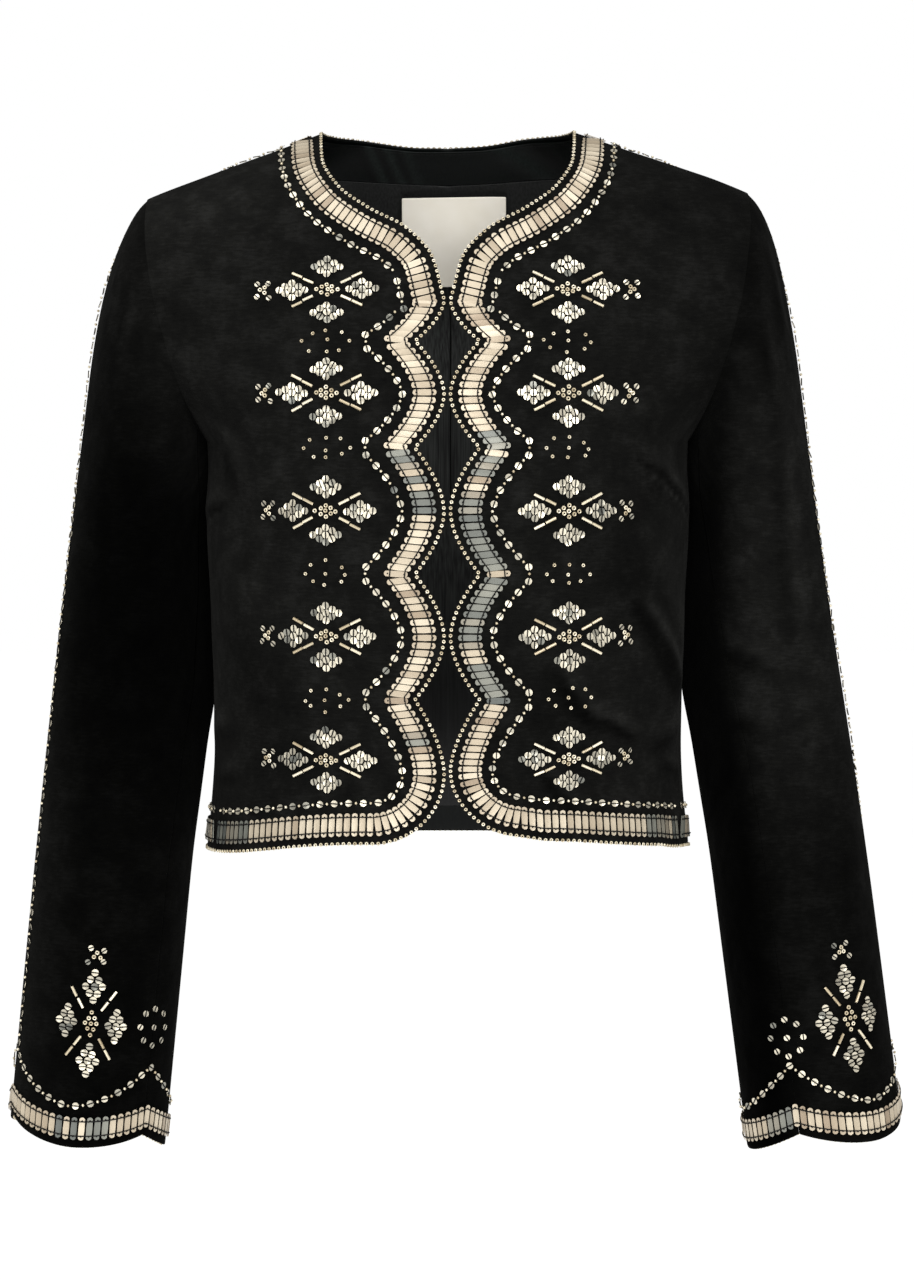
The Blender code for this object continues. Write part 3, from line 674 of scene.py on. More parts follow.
def sleeve(turn, along, side):
    """(points, outward normals) of a sleeve's cloth."""
    sign = SIDES[side][0]
    step = 1e-3
    across = sleeve_form(turn + step, along, side) - sleeve_form(turn - step, along, side)
    down = sleeve_form(turn, along + step, side) - sleeve_form(turn, np.maximum(along - step, 0), side)
    normals = np.cross(across, down)
    normals /= np.linalg.norm(normals, axis=-1, keepdims=True)
    points = sleeve_form(turn, along, side) + normals * sleeve_creases(turn, along, side)[..., None]
    flip = np.array([sign, 1, 1])
    return points * flip, normals * flip


def sleeve_turn(lap, along, side):
    """Turn of a line drawn along the sleeve; lap 0 is the outer line, 1 and -1 the two seams."""
    twist = math.radians(SIDES[side][1]) * ease(along / SEAM_SHARE)
    seam = SEAM_ANGLE_TOP + (SEAM_ANGLE_CUFF - SEAM_ANGLE_TOP) * ease(along / SEAM_SHARE)
    under = math.pi - seam
    inside = np.abs(lap) <= 1
    beyond = np.sign(lap) * (seam + (np.abs(lap) - 1) * 2 * under)
    return np.where(inside, lap * seam, beyond) + twist


def cuff_share(lap):
    """Where the scalloped cuff ends on each line: three scallops meet at laps 0, 1 and -1."""
    part = np.where(np.abs(lap) <= 1, np.abs(lap), np.abs(lap) - 1)
    notch = np.abs(2 * part - 1) ** SCALLOP_POWER
    return 1 - CUFF_SCALLOP / -CUFF_Z * notch


# Sizes of the sewn-on trim
PLATE_LENGTH = 0.0148
PLATE_WIDTH = 0.0040
PLATE_PITCH = 0.0049
PLATE_SHINGLE = math.radians(5)
THREAD = 0.00042
THREAD_INSET = 0.0026
THREAD_STEP = 3
HOLE = 0.0011
EDGE_BEAD_IN = 0.0008
EDGE_BEAD = 0.0024
EDGE_BEAD_PITCH = 0.0037
ROW_DISTANCE = 0.0265
ROW_PEAK = 0.0055
ROW_PITCH = 0.0094
ROW_CLEAR = 0.0036
ROW_LOOK_BACK = 6
ROW_SEQUIN = 0.0045
ROW_BEAD = 0.0019
PEAK_POWER = 1.2
CUFF_ROW_DISTANCE = 0.0268
CUFF_ROW_PEAK = 0.0180
CUFF_ROW_POWER = 1.6
# Columns: along, turn degrees
SLEEVE_ROW_TURNS = {
    "left": ((0.0, -10), (0.08, 2), (0.20, 15), (0.34, 18), (0.48, 13), (0.66, -9), (0.82, -20), (1.0, -9)),
    "right": ((0.0, -10), (0.08, 2), (0.20, 14), (0.34, 17), (0.55, 20), (0.77, 22), (1.0, 19)),
}
SHOULDER_ROW_BACK = 0.26

# Florets: diamonds of nine sequins round a diamond of nine ring beads, with four bugle rays
FLORET_X = 0.075
FLORET_HEIGHTS = (-0.065, -0.130, -0.203, -0.281, -0.359)
FLORET_SEQUIN = 0.0046
FLORET_RING = 0.0029
CENTRE_STEP = (0.0033, 0.0017)
DIAMOND_STEP = (0.0041, 0.0024)
DIAMOND_CENTRES = ((0.022, 0.0), (-0.022, 0.0), (0.0, 0.0148), (0.0, -0.0148))
BUGLE_LENGTH = 0.0069
BUGLE_WIDTH = 0.00175
BUGLE_HEADING = math.radians(26)
BUGLE_STARTS = (0.0104, 0.0183)
TIP_CENTRE = 0.040
TIP_CUPS = ((-0.0030, 0.0046), (-0.0036, -0.0050), (0.0040, 0.0042), (0.0044, -0.0040))
TIP_RINGS = ((0.0022, 0.0), (-0.0005, 0.0018), (-0.0005, -0.0017))
TIP_CUP = 0.0036
DOT_RING = (0.0140, 0.0066)
DOT_COUNT = 8
DOT_WANDER = 0.0008
CUFF_FLORET_LAPS = {"left": 0.60, "right": 0.59}
CUFF_FLORET_UP = 0.0805
CUFF_FLORET_SPREAD = (1.08, 1.15)
CUFF_BUGLE_HEADING = math.radians(33)
CUFF_RING_UPS = {"left": 0.0625, "right": 0.0700}
CUFF_RING = (0.0120, 0.0118)
CUFF_RING_SEQUIN = 0.0040

# Depth, rim and dish of the pressed pieces; a sequin's rim is a share of its diameter
PLATE_DISH = (0.00030, 0.00045, 0.00008)
SEQUIN_DEPTH = 0.00025
SEQUIN_RIM = 0.24
SEQUIN_DISH = 0.00015
DISC_SIDES = 12
# Shares of a ring bead's diameter
RING_MAJOR = 0.34
RING_MINOR = 0.16
BEAD_SQUASH = (0.92, 1.0, 0.92)
# Shares of a bugle's width
BUGLE_WALL = 0.2
BUGLE_SUNK = 0.4
# A bugle ray starts this much nearer to the centre than its stated place
BUGLE_SHIFT = 0.0007
HOLE_DEPTH = 0.0005
HOLE_LIFT = 0.0002
# A hole lies this share of the thread's inset from the end of its plate
HOLE_SHARE = 0.85
THREAD_LIFT = 0.00055
THREAD_SIDES = 5
# A face whose normal is this near to an axis looks along it
FACES_ALONG = 0.9
# The stitch that holds a sequin: its length as a share of the diameter, its width and its lift
STITCH_SHARE = 1.06
STITCH_WIDTH = 0.0008
STITCH_LIFT = 0.00030
# How high pieces lie over the cloth, and how unevenly they are sewn
SEQUIN_LIFT = 0.0008
RING_LIFT = 0.0010
CUP_LIFT = 0.0007
EDGE_BEAD_LIFT = 0.0006
ROW_BEAD_SINK = 0.0005
HAND_WANDER = 0.00018
SEQUIN_TILT = 6
SEQUIN_TURN = 9
CUP_HEADING = 0.8
CUFF_RING_HEADING = 0.4

# Finish
SUBDIVISIONS = 1
SHARP_ANGLE = math.radians(40)
rng = np.random.default_rng(5)


# Materials: how large their textures are, in metres

VELVET_CLOUD = 0.022
VELVET_STREAK = (0.006, 0.006, 0.0013)
STREAK_SHARE = 0.28
# The pile's tufts are under half a millimetre, so they are drawn twice as coarse to show
TUFT = 0.0011
TUFT_HEIGHT = 0.0002
RUMPLE = 0.028
RUMPLE_HEIGHT = 0.004
SATIN_WARP = (0.0012, 0.0012, 0.05)
LABEL_CLOUD = 0.02
LABEL_THREAD = 0.0005
# A wave texture of scale 1 repeats after this length
WAVE_LENGTH = 0.314
SCUFF = 0.0015
THREAD_TWIST = 0.0006
FINE_BUMP = 0.0002


def linear(code):
    """Linear colour of an sRGB hex value."""
    parts = [int(code[n : n + 2], 16) / 255 for n in (1, 3, 5)]
    return (*[c / 12.92 if c <= 0.04045 else ((c + 0.055) / 1.055) ** 2.4 for c in parts], 1.0)


def add_node(tree, kind, links=(), **settings):
    """Adds a node, sets its properties or input values by name, and links its inputs to outputs."""
    node = tree.nodes.new(kind)
    for name, value in settings.items():
        socket = node.inputs.get(name.replace("_", " ").title())
        if socket:
            socket.default_value = value
        else:
            setattr(node, name, value)
    for name, output in dict(links).items():
        tree.links.new(output, node.inputs[name])
    return node


def start_material(name, **settings):
    """A new material and its shader, whose plain values are set by name."""
    material = bpy.data.materials.new(name)
    material.use_nodes = True
    tree = material.node_tree
    shader = tree.nodes["Principled BSDF"]
    for socket, value in settings.items():
        shader.inputs[socket.replace("_", " ")].default_value = value
    return material, tree, shader


def ramp(tree, factor, *stops):
    """Colour ramp through (place, hex) stops."""
    node = add_node(tree, "ShaderNodeValToRGB", {"Fac": factor})
    while len(node.color_ramp.elements) < len(stops):
        node.color_ramp.elements.new(0.5)
    for element, (place, code) in zip(node.color_ramp.elements, stops):
        element.position = place
        element.color = linear(code)
    return node.outputs["Color"]


def bumped(tree, shader, height, strength, distance):
    bump = add_node(tree, "ShaderNodeBump", {"Height": height}, strength=strength, distance=distance)
    tree.links.new(bump.outputs["Normal"], shader.inputs["Normal"])


def with_painted_light(tree, tone):
    """A tone made lighter or darker by the light and shade painted at each point of the cloth."""
    painted_light = add_node(tree, "ShaderNodeAttribute", attribute_name="painted_light").outputs["Fac"]
    links = {"Vector": tone, "Scale": painted_light}
    return add_node(tree, "ShaderNodeVectorMath", links, operation="SCALE").outputs["Vector"]


def scaled(tree, value, factor, plus=None):
    """A value times a factor, plus another value if there is one."""
    node = add_node(tree, "ShaderNodeMath", operation="MULTIPLY_ADD")
    tree.links.new(value, node.inputs[0])
    node.inputs[1].default_value = factor
    node.inputs[2].default_value = 0.0
    if plus:
        tree.links.new(plus, node.inputs[2])
    return node.outputs["Value"]


def noise(tree, vector, **settings):
    """Fractal noise over a vector."""
    return add_node(tree, "ShaderNodeTexNoise", {"Vector": vector}, **settings).outputs["Fac"]


def object_place(tree, size=None):
    """Places on the object in metres, or in units of a size."""
    place = add_node(tree, "ShaderNodeTexCoord").outputs["Object"]
    if size is None:
        return place
    scale = tuple(1 / length for length in size)
    return add_node(tree, "ShaderNodeMapping", {"Vector": place}, scale=scale).outputs["Vector"]


def velvet_pile():
    """Cotton velvet: cut pile, near black face on and lit at a slant, brushed into soft clouds."""
    material, tree, shader = start_material(
        "velvet_pile",
        Roughness=0.95,
        Specular_IOR_Level=0.0,
        Sheen_Weight=0.02,
        Sheen_Roughness=0.5,
        Sheen_Tint=linear("#C8C8C4"),
    )
    place = object_place(tree)
    cloud = noise(tree, place, scale=1 / VELVET_CLOUD, detail=6.0, roughness=0.68)
    streak = noise(tree, object_place(tree, VELVET_STREAK), scale=1.0, detail=2.0)
    both = add_node(tree, "ShaderNodeMix", {"A": cloud, "B": streak}, factor=STREAK_SHARE).outputs["Result"]
    tone = ramp(tree, both, (0.26, "#080808"), (0.50, "#10100F"), (0.74, "#1C1C1B"))
    # The velvet's colour carries the light and shade painted at each point
    tree.links.new(with_painted_light(tree, tone), shader.inputs["Base Color"])
    fine = scaled(tree, noise(tree, place, scale=1 / TUFT, detail=2.0), TUFT_HEIGHT)
    height = scaled(tree, noise(tree, place, scale=1 / RUMPLE, detail=2.0), RUMPLE_HEIGHT, fine)
    bumped(tree, shader, height, 1.0, 1.0)
    return material


def satin(name, dark, light, gloss):
    """Acetate satin: smooth dark warp with a faint upright rib and a soft gloss."""
    material, tree, shader = start_material(name, Roughness=0.45, Specular_IOR_Level=gloss)
    warp = noise(tree, object_place(tree, SATIN_WARP), scale=1.0, detail=2.0)
    tone = ramp(tree, warp, (0.30, dark), (0.70, light))
    # The satin's colour carries the light and shade painted at each point
    tree.links.new(with_painted_light(tree, tone), shader.inputs["Base Color"])
    bumped(tree, shader, warp, 0.25, FINE_BUMP)
    return material


def label_cloth():
    """Woven ribbon: cream weft with a fine rib along its length."""
    material, tree, shader = start_material("label_ribbon", Roughness=0.62, Specular_IOR_Level=0.3)
    place = object_place(tree)
    rib = add_node(
        tree,
        "ShaderNodeTexWave",
        {"Vector": place},
        bands_direction="Z",
        scale=WAVE_LENGTH / LABEL_THREAD,
        distortion=0.6,
    )
    cloud = noise(tree, place, scale=1 / LABEL_CLOUD)
    tone = ramp(tree, cloud, (0.30, "#F9F2E2"), (0.70, "#FFF9EC"))
    tree.links.new(tone, shader.inputs["Base Color"])
    bumped(tree, shader, rib.outputs["Fac"], 0.20, FINE_BUMP)
    return material


def toned_finish(name, stops, **settings):
    """A lacquered finish whose tone differs from piece to piece, with fine scuffs."""
    material, tree, shader = start_material(name, **settings)
    tone = add_node(tree, "ShaderNodeAttribute", attribute_name="tone").outputs["Fac"]
    tree.links.new(ramp(tree, tone, *stops), shader.inputs["Base Color"])
    scuff = noise(tree, object_place(tree), scale=1 / SCUFF, detail=2.0)
    bumped(tree, shader, scuff, 0.12, FINE_BUMP)
    return material


def plate_lacquer():
    """Pressed gelatin plates under champagne lacquer: satin gloss, some turned cool and grey, and some
    painted dark as shade.
    """
    stops = ((0.0, "#595C58"), (0.25, "#84847A"), (0.42, "#958570"), (0.55, "#A89A84"), (1.0, "#C8BCA6"))
    return toned_finish("plate_lacquer", stops, Roughness=0.38, Metallic=0.25)


def sequin_lacquer():
    """Pressed sequins, thinner and brighter than the plates."""
    stops = ((0.0, "#3E4240"), (0.3, "#86857B"), (0.6, "#BDB6A4"), (1.0, "#DDD5C0"))
    return toned_finish("sequin_lacquer", stops, Roughness=0.26, Metallic=0.55)


def bead_glass():
    """Lined seed beads and bugles: pale gold inside clear glass, so bright and glossy."""
    stops = ((0.0, "#A8987A"), (0.5, "#CFC3A6"), (1.0, "#E6DCC4"))
    return toned_finish("bead_glass", stops, Roughness=0.18, Metallic=0.25, Coat_Weight=0.4)


def thread_black():
    """Polyester sewing thread, dull and black."""
    material, tree, shader = start_material("thread_black", Roughness=0.8, Specular_IOR_Level=0.2)
    twist = noise(tree, object_place(tree), scale=1 / THREAD_TWIST)
    tone = ramp(tree, twist, (0.3, "#050505"), (0.7, "#121211"))
    tree.links.new(tone, shader.inputs["Base Color"])
    return material


FINISHES = {
    "velvet": velvet_pile(),
    "facing": satin("satin_facing", "#030504", "#090C0B", 0.1),
    "lining": satin("satin_lining", "#0D0D0D", "#1F201F", 0.2),
    "label": label_cloth(),
    "plate": plate_lacquer(),
    "sequin": sequin_lacquer(),
    "bead": bead_glass(),
    "thread": thread_black(),
}


# Meshes


def add_to_scene(name, data):
    thing = bpy.data.objects.new(name, data)
    bpy.context.scene.collection.objects.link(thing)
    return thing


def new_object(name, points, faces, finishes):
    mesh = bpy.data.meshes.new(name)
    mesh.from_pydata(settled(points), [], faces)
    mesh.polygons.foreach_set("use_smooth", np.ones(len(mesh.polygons), bool))
    for finish in finishes:
        mesh.materials.append(FINISHES[finish])
    return add_to_scene(name, mesh)


def cloth_wall(name, sheets, face_finish, back_finish, painted_light=None):
    """A closed wall between (face, back) grids of points; grids that share an edge join there.

    The last argument gives the light and shade painted onto the cloth at its points.
    """
    numbers = {}
    pairs = []
    quads = []
    for face, back in sheets:
        ids = np.empty(face.shape[:2], int)
        for place in np.ndindex(ids.shape):
            key = tuple(np.round(face[place], 6))
            if key not in numbers:
                numbers[key] = len(pairs)
                pairs.append((face[place], back[place]))
            ids[place] = numbers[key]
        row, column = ids.shape[0] // 2, ids.shape[1] // 2
        turn = np.cross(face[row, column + 1] - face[row, column], face[row + 1, column] - face[row, column])
        if turn @ (face[row, column] - back[row, column]) < 0:
            ids = ids[:, ::-1]
        corners = (ids[:-1, :-1], ids[:-1, 1:], ids[1:, 1:], ids[1:, :-1])
        quads += np.stack(corners, -1).reshape(-1, 4).tolist()
    uses = {}
    for quad in quads:
        for edge in zip(quad, quad[1:] + quad[:1]):
            uses.setdefault(tuple(sorted(edge)), []).append(edge)
    count = len(pairs)
    rim = [(b, a, a + count, b + count) for a, b in (found[0] for found in uses.values() if len(found) == 1)]
    behind = [[n + count for n in quad[::-1]] for quad in quads]
    points = [pair[0] for pair in pairs] + [pair[1] for pair in pairs]
    wall = new_object(name, points, quads + rim + behind, (face_finish, back_finish))
    # Painted light and shade: a lightness for every point, which the materials multiply into their colour
    tone = wall.data.attributes.new("painted_light", "FLOAT", "POINT")
    lightness = np.ones(count) if painted_light is None else painted_light(np.array(points[:count]))
    tone.data.foreach_set("value", np.tile(lightness, 2).astype(np.float32))
    inside = np.zeros(len(wall.data.polygons), int)
    inside[len(quads) + len(rim) :] = 1
    wall.data.polygons.foreach_set("material_index", inside)
    soften = wall.modifiers.new("soften", "SUBSURF")
    soften.levels = SUBDIVISIONS
    soften.render_levels = SUBDIVISIONS
    return wall


def near_edges(count, margin):
    """Even shares from 0 to 1 with one more close to each end, so that edges round off tightly."""
    shares = np.linspace(0, 1, count + 1)
    return np.concatenate([[0, margin], shares[1:-1], [1 - margin, 1]])


# Cloth pieces

FRONT_COLUMNS = 46
FRONT_STEPS = (24, 36, 8)
BACK_COLUMNS = 36
BACK_ROWS = 72
BACK_NECK_ROWS = 22
SLEEVE_ROWS = 74
UPPER_COLUMNS = 64
UNDER_COLUMNS = 26
FACING_COLUMNS = 56
LINING_COLUMNS = 16
LINING_ROWS = 48
FACING_ROWS = 10
LABEL_STEPS = (20, 24)
# How near to an edge the next line of points lies, as a share of the piece
BODY_MARGIN = 0.004
SLEEVE_MARGIN = 0.003
UNDER_MARGIN = 0.006
FACING_MARGIN = 0.03
LABEL_MARGIN = 0.02
# Sleeve rows lie closer at the armhole, and only those near the cuff follow its scallops
SLEEVE_ROW_POWER = 1.1
SCALLOP_PULL_POWER = 4

# Light and shade painted on the pile: lighter and darker patches, and painted light and shade on creases
# Columns: side, angle, height, width, tall, more
PAINTED_PATCH_ROWS = (
    (1, 66, -0.075, 0.045, 0.075, -0.60),
    (1, 44, -0.240, 0.030, 0.040, -0.30),
    (1, 30, -0.330, 0.030, 0.030, -0.25),
    (-1, 52, -0.003, 0.050, 0.035, 0.80),
    (-1, 86, -0.300, 0.030, 0.090, 0.25),
    (-1, 40, -0.330, 0.040, 0.040, -0.25),
)
# How strongly a crease's slope up and towards the key light is painted lighter
UP_LIGHT = 3.0
SIDE_LIGHT = 1.6
CREASE_SLOPE_STEP = 0.0015
PAINTED_LIGHT_LIMITS = (0.4, 2.4)
# Turns round a sleeve, in radians, and shares of its length where the painted light and shade change
OUTER_LIGHT_TURN = 0.7
UNDER_SHADE_TURN = 1.6
UNDER_SHADE_FADE = 0.7
HEAD_LIGHT_SHARE = 0.3
CUFF_LIGHT_START = 0.48
CUFF_LIGHT_FADE = 0.25
# Light and shade painted on each part of a sleeve, dark on the under sleeve where the body shades it
# Columns: middle, outer line, under sleeve, head, cuff
SLEEVE_PAINTED_LIGHT = {"left": (1.15, 0.75, 0.15, 0.45, 0.42), "right": (0.13, 0.55, 0.12, 0.7, 2.2)}


def body_painted_light(angle, height, side):
    """A crease's side turned up or towards the key light is painted lighter and the other side darker, and
    patches are painted lighter and darker.
    """
    turn = CREASE_SLOPE_STEP / BODY_RADIUS
    rise = lambda a, h: body_creases(a, h, side) + fold_rise(a, h, side)
    up = (rise(angle, height - CREASE_SLOPE_STEP) - rise(angle, height + CREASE_SLOPE_STEP)) / (2 * CREASE_SLOPE_STEP)
    out = (rise(angle - turn, height) - rise(angle + turn, height)) / (2 * CREASE_SLOPE_STEP)
    painted_light = np.clip(1 + UP_LIGHT * up + SIDE_LIGHT * side * out, *PAINTED_LIGHT_LIMITS)
    for patch_side, patch_angle, patch_height, width, tall, more in PAINTED_PATCH_ROWS:
        away = ((angle - math.radians(patch_angle)) * BODY_RADIUS / width) ** 2
        away = away + ((height - patch_height) / tall) ** 2
        painted_light = painted_light * (1 + more * (patch_side == side) * np.exp(-away))
    return painted_light


def front_cloth(side_name, side):
    angle, height, below, turns = front_grid(near_edges(FRONT_COLUMNS, BODY_MARGIN), *FRONT_STEPS)
    points, normals = body(angle, height, side)
    normals = rim_normals(normals, below, turns, side)
    points[..., 1] += SEAM_LAP / 2
    painted_light = body_painted_light(angle, height, side).ravel()
    sheet = (points, points - normals * CLOTH)
    return cloth_wall(f"velvet_front_{side_name}", [sheet], "velvet", "facing", lambda _: painted_light)


def back_halves(angle, height, low, high, finish=None):
    """Both halves of a grid over the back, as (face, back) pairs this far above the outer cloth."""
    halves = []
    for side in (1, -1):
        points, normals = body(angle, height, side, folded=high >= 0)
        if finish:
            normals = finish(normals, side)
        points[..., 1] -= SEAM_LAP / 2
        halves.append((points + normals * high, points + normals * low))
    return halves


def back_cloth():
    inner, outer, level, below, turns = back_lines(
        back_neck, math.pi / 2, 0.0, HEM_Z, BACK_ROWS, BACK_NECK_ROWS
    )
    columns = near_edges(BACK_COLUMNS, BODY_MARGIN)
    angle, height = spread(inner, outer, columns, level)
    halves = back_halves(angle, height, -CLOTH, 0.0, lambda n, side: rim_normals(n, below, turns, side))
    return cloth_wall("velvet_back", halves, "velvet", "facing")


def sleeve_painted_light(turns, along, side):
    """Light and shade painted round a sleeve, dark under it, and lighter on creases turned up or towards the
    key light.
    """
    middle, outer, under, head, cuff = SLEEVE_PAINTED_LIGHT[side]
    turn = np.abs((turns + math.pi) % (2 * math.pi) - math.pi)
    painted_light = middle + (outer - middle) * np.exp(-((turn / OUTER_LIGHT_TURN) ** 2))
    painted_light = painted_light + (under - painted_light) * ease((turn - UNDER_SHADE_TURN) / UNDER_SHADE_FADE)
    painted_light = painted_light + (head - painted_light) * (1 - ease(along / HEAD_LIGHT_SHARE))
    painted_light = painted_light * (1 + (cuff - 1) * ease((along - CUFF_LIGHT_START) / CUFF_LIGHT_FADE))
    down = CREASE_SLOPE_STEP / SLEEVE_LENGTH
    round_by = CREASE_SLOPE_STEP / SLEEVE_RADIUS
    rise = lambda t, a: sleeve_creases(t, a, side)
    up = (rise(turns, along + down) - rise(turns, along - down)) / (2 * CREASE_SLOPE_STEP)
    out = (rise(turns + round_by, along) - rise(turns - round_by, along)) / (2 * CREASE_SLOPE_STEP)
    return painted_light * np.clip(1 + UP_LIGHT * up + SIDE_LIGHT * SIDES[side][0] * out, *PAINTED_LIGHT_LIMITS)


def sleeve_cloth(name, side, laps):
    rows = near_edges(SLEEVE_ROWS, SLEEVE_MARGIN) ** SLEEVE_ROW_POWER
    lap, row = np.meshgrid(laps, rows)
    along = row * (1 - (1 - cuff_share(lap)) * row**SCALLOP_PULL_POWER)
    turn = sleeve_turn(lap, along, side)
    points, normals = sleeve(turn, along, side)
    shared = armhole_normal(turn) * np.array([SIDES[side][0], 1, 1])
    normals = normals + (shared - normals) * (np.clip(1 - along / RIM_SHARE, 0, 1) ** 2)[..., None]
    normals /= np.linalg.norm(normals, axis=-1, keepdims=True)
    painted_light = sleeve_painted_light(turn, along, side).ravel()
    return cloth_wall(name, [(points, points - normals * CLOTH)], "velvet", "lining", lambda _: painted_light)


def sleeve_pair(side):
    upper = -1 + UPPER_GAP + (2 - 2 * UPPER_GAP) * near_edges(UPPER_COLUMNS, SLEEVE_MARGIN)
    under = 1 + UNDER_GAP + (1 - 2 * UNDER_GAP) * near_edges(UNDER_COLUMNS, UNDER_MARGIN)
    return (
        sleeve_cloth(f"velvet_sleeve_upper_{side}", side, upper),
        sleeve_cloth(f"velvet_sleeve_under_{side}", side, under),
    )


def inner_halves(angle, height, lifts):
    """Both halves of a facing or lining grid; lifts say how far each stands off into the hollow."""
    depth = CLOTH + LAYER_GAP
    halves = []
    for (face, back), lift in zip(back_halves(angle, height, -depth - LINING, -depth), lifts):
        into = (back - face) / LINING
        halves.append((back + into * lift[..., None], face + into * lift[..., None]))
    return halves


# Light painted on the lining where it falls in between the fronts, and painted shade towards the neck and the
# hem
# Columns: height, light
LINING_PAINTED_LIGHT = (
    (-0.44, 0.1),
    (-0.39, 0.2),
    (-0.32, 0.7),
    (-0.25, 3.0),
    (-0.17, 4.5),
    (-0.10, 6.0),
    (-0.06, 1.0),
)
# The pleat down the lining's centre back, the shallow folds beside it, and a black line painted as the
# pleat's deep shadow
PLEAT_RISE = 0.0022
PLEAT_WIDTH = 0.03
PLEAT_FADE = 0.03
LINING_WAVE = 0.0006
LINING_WAVE_PITCH = (17, 9)
LINING_WAVE_START = 0.2
LINING_WAVE_TOP = -0.012
LINING_WAVE_FADE = 0.1
PLEAT_SHADOW_X = 0.0017
PLEAT_SHADOW_HEIGHTS = (-0.070, -0.215)
PLEAT_SHADOW_DEPTH = 0.0021
PLEAT_SHADOW_RADIUS = 0.0006
FACING_TURN_IN = 0.001
PUCKER_POWER = 0.7
PUCKER_DARKEST = 0.1
# The label tilts by this much across its top, stands off the lining and bows further off it
LABEL_TILT = 0.0012
LABEL_OFF = 0.003
LABEL_BOW = 0.0018
TOPSTITCH_DROP = 0.0024
TOPSTITCH_PITCH = 0.0030
TOPSTITCH = (0.0022, 0.0005)
# Slanting puckers of the facing: where each starts at its top, how it leans, and how much lighter it is
# painted, with painted shade between them where negative
# Columns: from centre, lean, width, rise, painted light
PUCKER_ROWS = (
    (-0.060, 0.45, 0.0030, 0.0000, -0.80),
    (-0.053, 0.45, 0.0024, 0.0007, 3.20),
    (-0.047, 0.45, 0.0022, 0.0000, -0.80),
    (-0.041, 0.45, 0.0026, 0.0006, 2.80),
    (-0.035, 0.40, 0.0022, 0.0000, -0.80),
    (-0.028, 0.35, 0.0034, 0.0005, 1.60),
    (0.030, 1.60, 0.0080, 0.0008, 1.80),
    (0.052, 1.60, 0.0060, 0.0000, -0.80),
)
PUCKER_RISE, PUCKER_PAINTED_LIGHT = 3, 4


def pucker(x, z, column):
    """One column of the pucker table, spread over the facing."""
    total = 0.0 * x
    for row in PUCKER_ROWS:
        off = (x - row[0] - row[1] * (BACK_NECK_Z - z)) / row[2]
        total += row[column] * np.exp(-off * off)
    return total


def facing_cloth():
    turns = np.linspace(0, FACING_END, FACING_COLUMNS + 1)
    inner = np.stack([math.pi - turns, back_neck(turns) - FACING_TURN_IN], -1)
    outer = np.stack([math.pi - turns, facing_line(turns)], -1)
    shares = near_edges(FACING_ROWS, FACING_MARGIN)
    angle, height = spread(inner, outer, shares, np.ones(len(turns)))
    across = body_form(angle, height)[..., 0]
    fade = np.sin(math.pi * shares) ** PUCKER_POWER
    lifts = [pucker(side * across, height, PUCKER_RISE) * fade for side in (1, -1)]
    halves = inner_halves(angle, height, lifts)
    return cloth_wall("facing_back_neck", halves, "facing", "facing", facing_painted_light)


def facing_painted_light(points):
    """Painted light on the facing's puckers and painted shade between them."""
    return np.maximum(1 + pucker(points[:, 0], points[:, 2], PUCKER_PAINTED_LIGHT), PUCKER_DARKEST)


def lining_painted_light(points):
    """The lining is painted lightest behind the chest, where light falls in between the fronts, and painted
    dark towards the neck and the hem.
    """
    return np.interp(points[:, 2], *zip(*LINING_PAINTED_LIGHT))


def lining_cloth():
    top = lambda turn: facing_line(turn) - SEAM_GAP
    lines = back_lines(top, FACING_END, LINING_ARM_END, HEM_Z + LINING_HEM, LINING_ROWS, LINING_COLUMNS)
    columns = LINING_SIDE * near_edges(LINING_COLUMNS, BODY_MARGIN)
    angle, height = spread(lines[0], lines[1], columns, lines[2])
    off = math.pi - angle
    lift = PLEAT_RISE * np.exp(-((off / PLEAT_WIDTH) ** 2)) * ease(-height / PLEAT_FADE)
    wave = 1 + np.sin(off * LINING_WAVE_PITCH[0] + height * LINING_WAVE_PITCH[1])
    wave = wave * ease(off / LINING_WAVE_START) * ease((LINING_WAVE_TOP - height) / LINING_WAVE_FADE)
    lift += LINING_WAVE * wave
    halves = inner_halves(angle, height, (lift, lift))
    return cloth_wall("lining_back_body", halves, "lining", "lining", lining_painted_light)


def label_place(across, height, depth):
    """Points inside the back at signed distances from its centre, and normals out of the cloth."""
    angle = angle_at(np.abs(across), height, True)
    points, normals = body(angle, height, 1, folded=False)
    mirror = np.stack([np.where(across < 0, -1, 1), np.ones_like(across), np.ones_like(across)], -1)
    points = points * mirror
    normals = normals * mirror
    points[..., 1] -= SEAM_LAP / 2
    return points - normals * np.asarray(depth)[..., None], normals


def label_patch():
    depth = CLOTH + LINING + 2 * LAYER_GAP
    height, across = np.meshgrid(
        LABEL_TOP_Z - LABEL_HEIGHT * near_edges(LABEL_STEPS[0], LABEL_MARGIN),
        LABEL_X + LABEL_WIDTH * (near_edges(LABEL_STEPS[1], LABEL_MARGIN) - 0.5),
        indexing="ij",
    )
    share_x = (across - LABEL_X) / LABEL_WIDTH
    height = height + LABEL_TILT * share_x
    share_z = (LABEL_TOP_Z - height) / LABEL_HEIGHT
    bow = LABEL_BOW * np.cos(math.pi * share_x) * np.sin(math.pi * np.clip(share_z, 0, 1)) ** 2
    face, normals = label_place(across, height, depth + LABEL + LABEL_OFF + bow)
    return cloth_wall("label_patch", [(face, face + normals * LABEL)], "label", "label")


# Lines along which trim is sewn: each gives (points, normals, kept) at a distance inside a free edge

NECK_FINE = 220
SCALLOP_FINE = 80
CORNER_FINE = 60
HEM_FINE = 160
CUFF_FINE = 900
SLEEVE_FINE = 400
SHOULDER_FINE = 120
PLEAT_FINE = 60
TOPSTITCH_FINE = 400
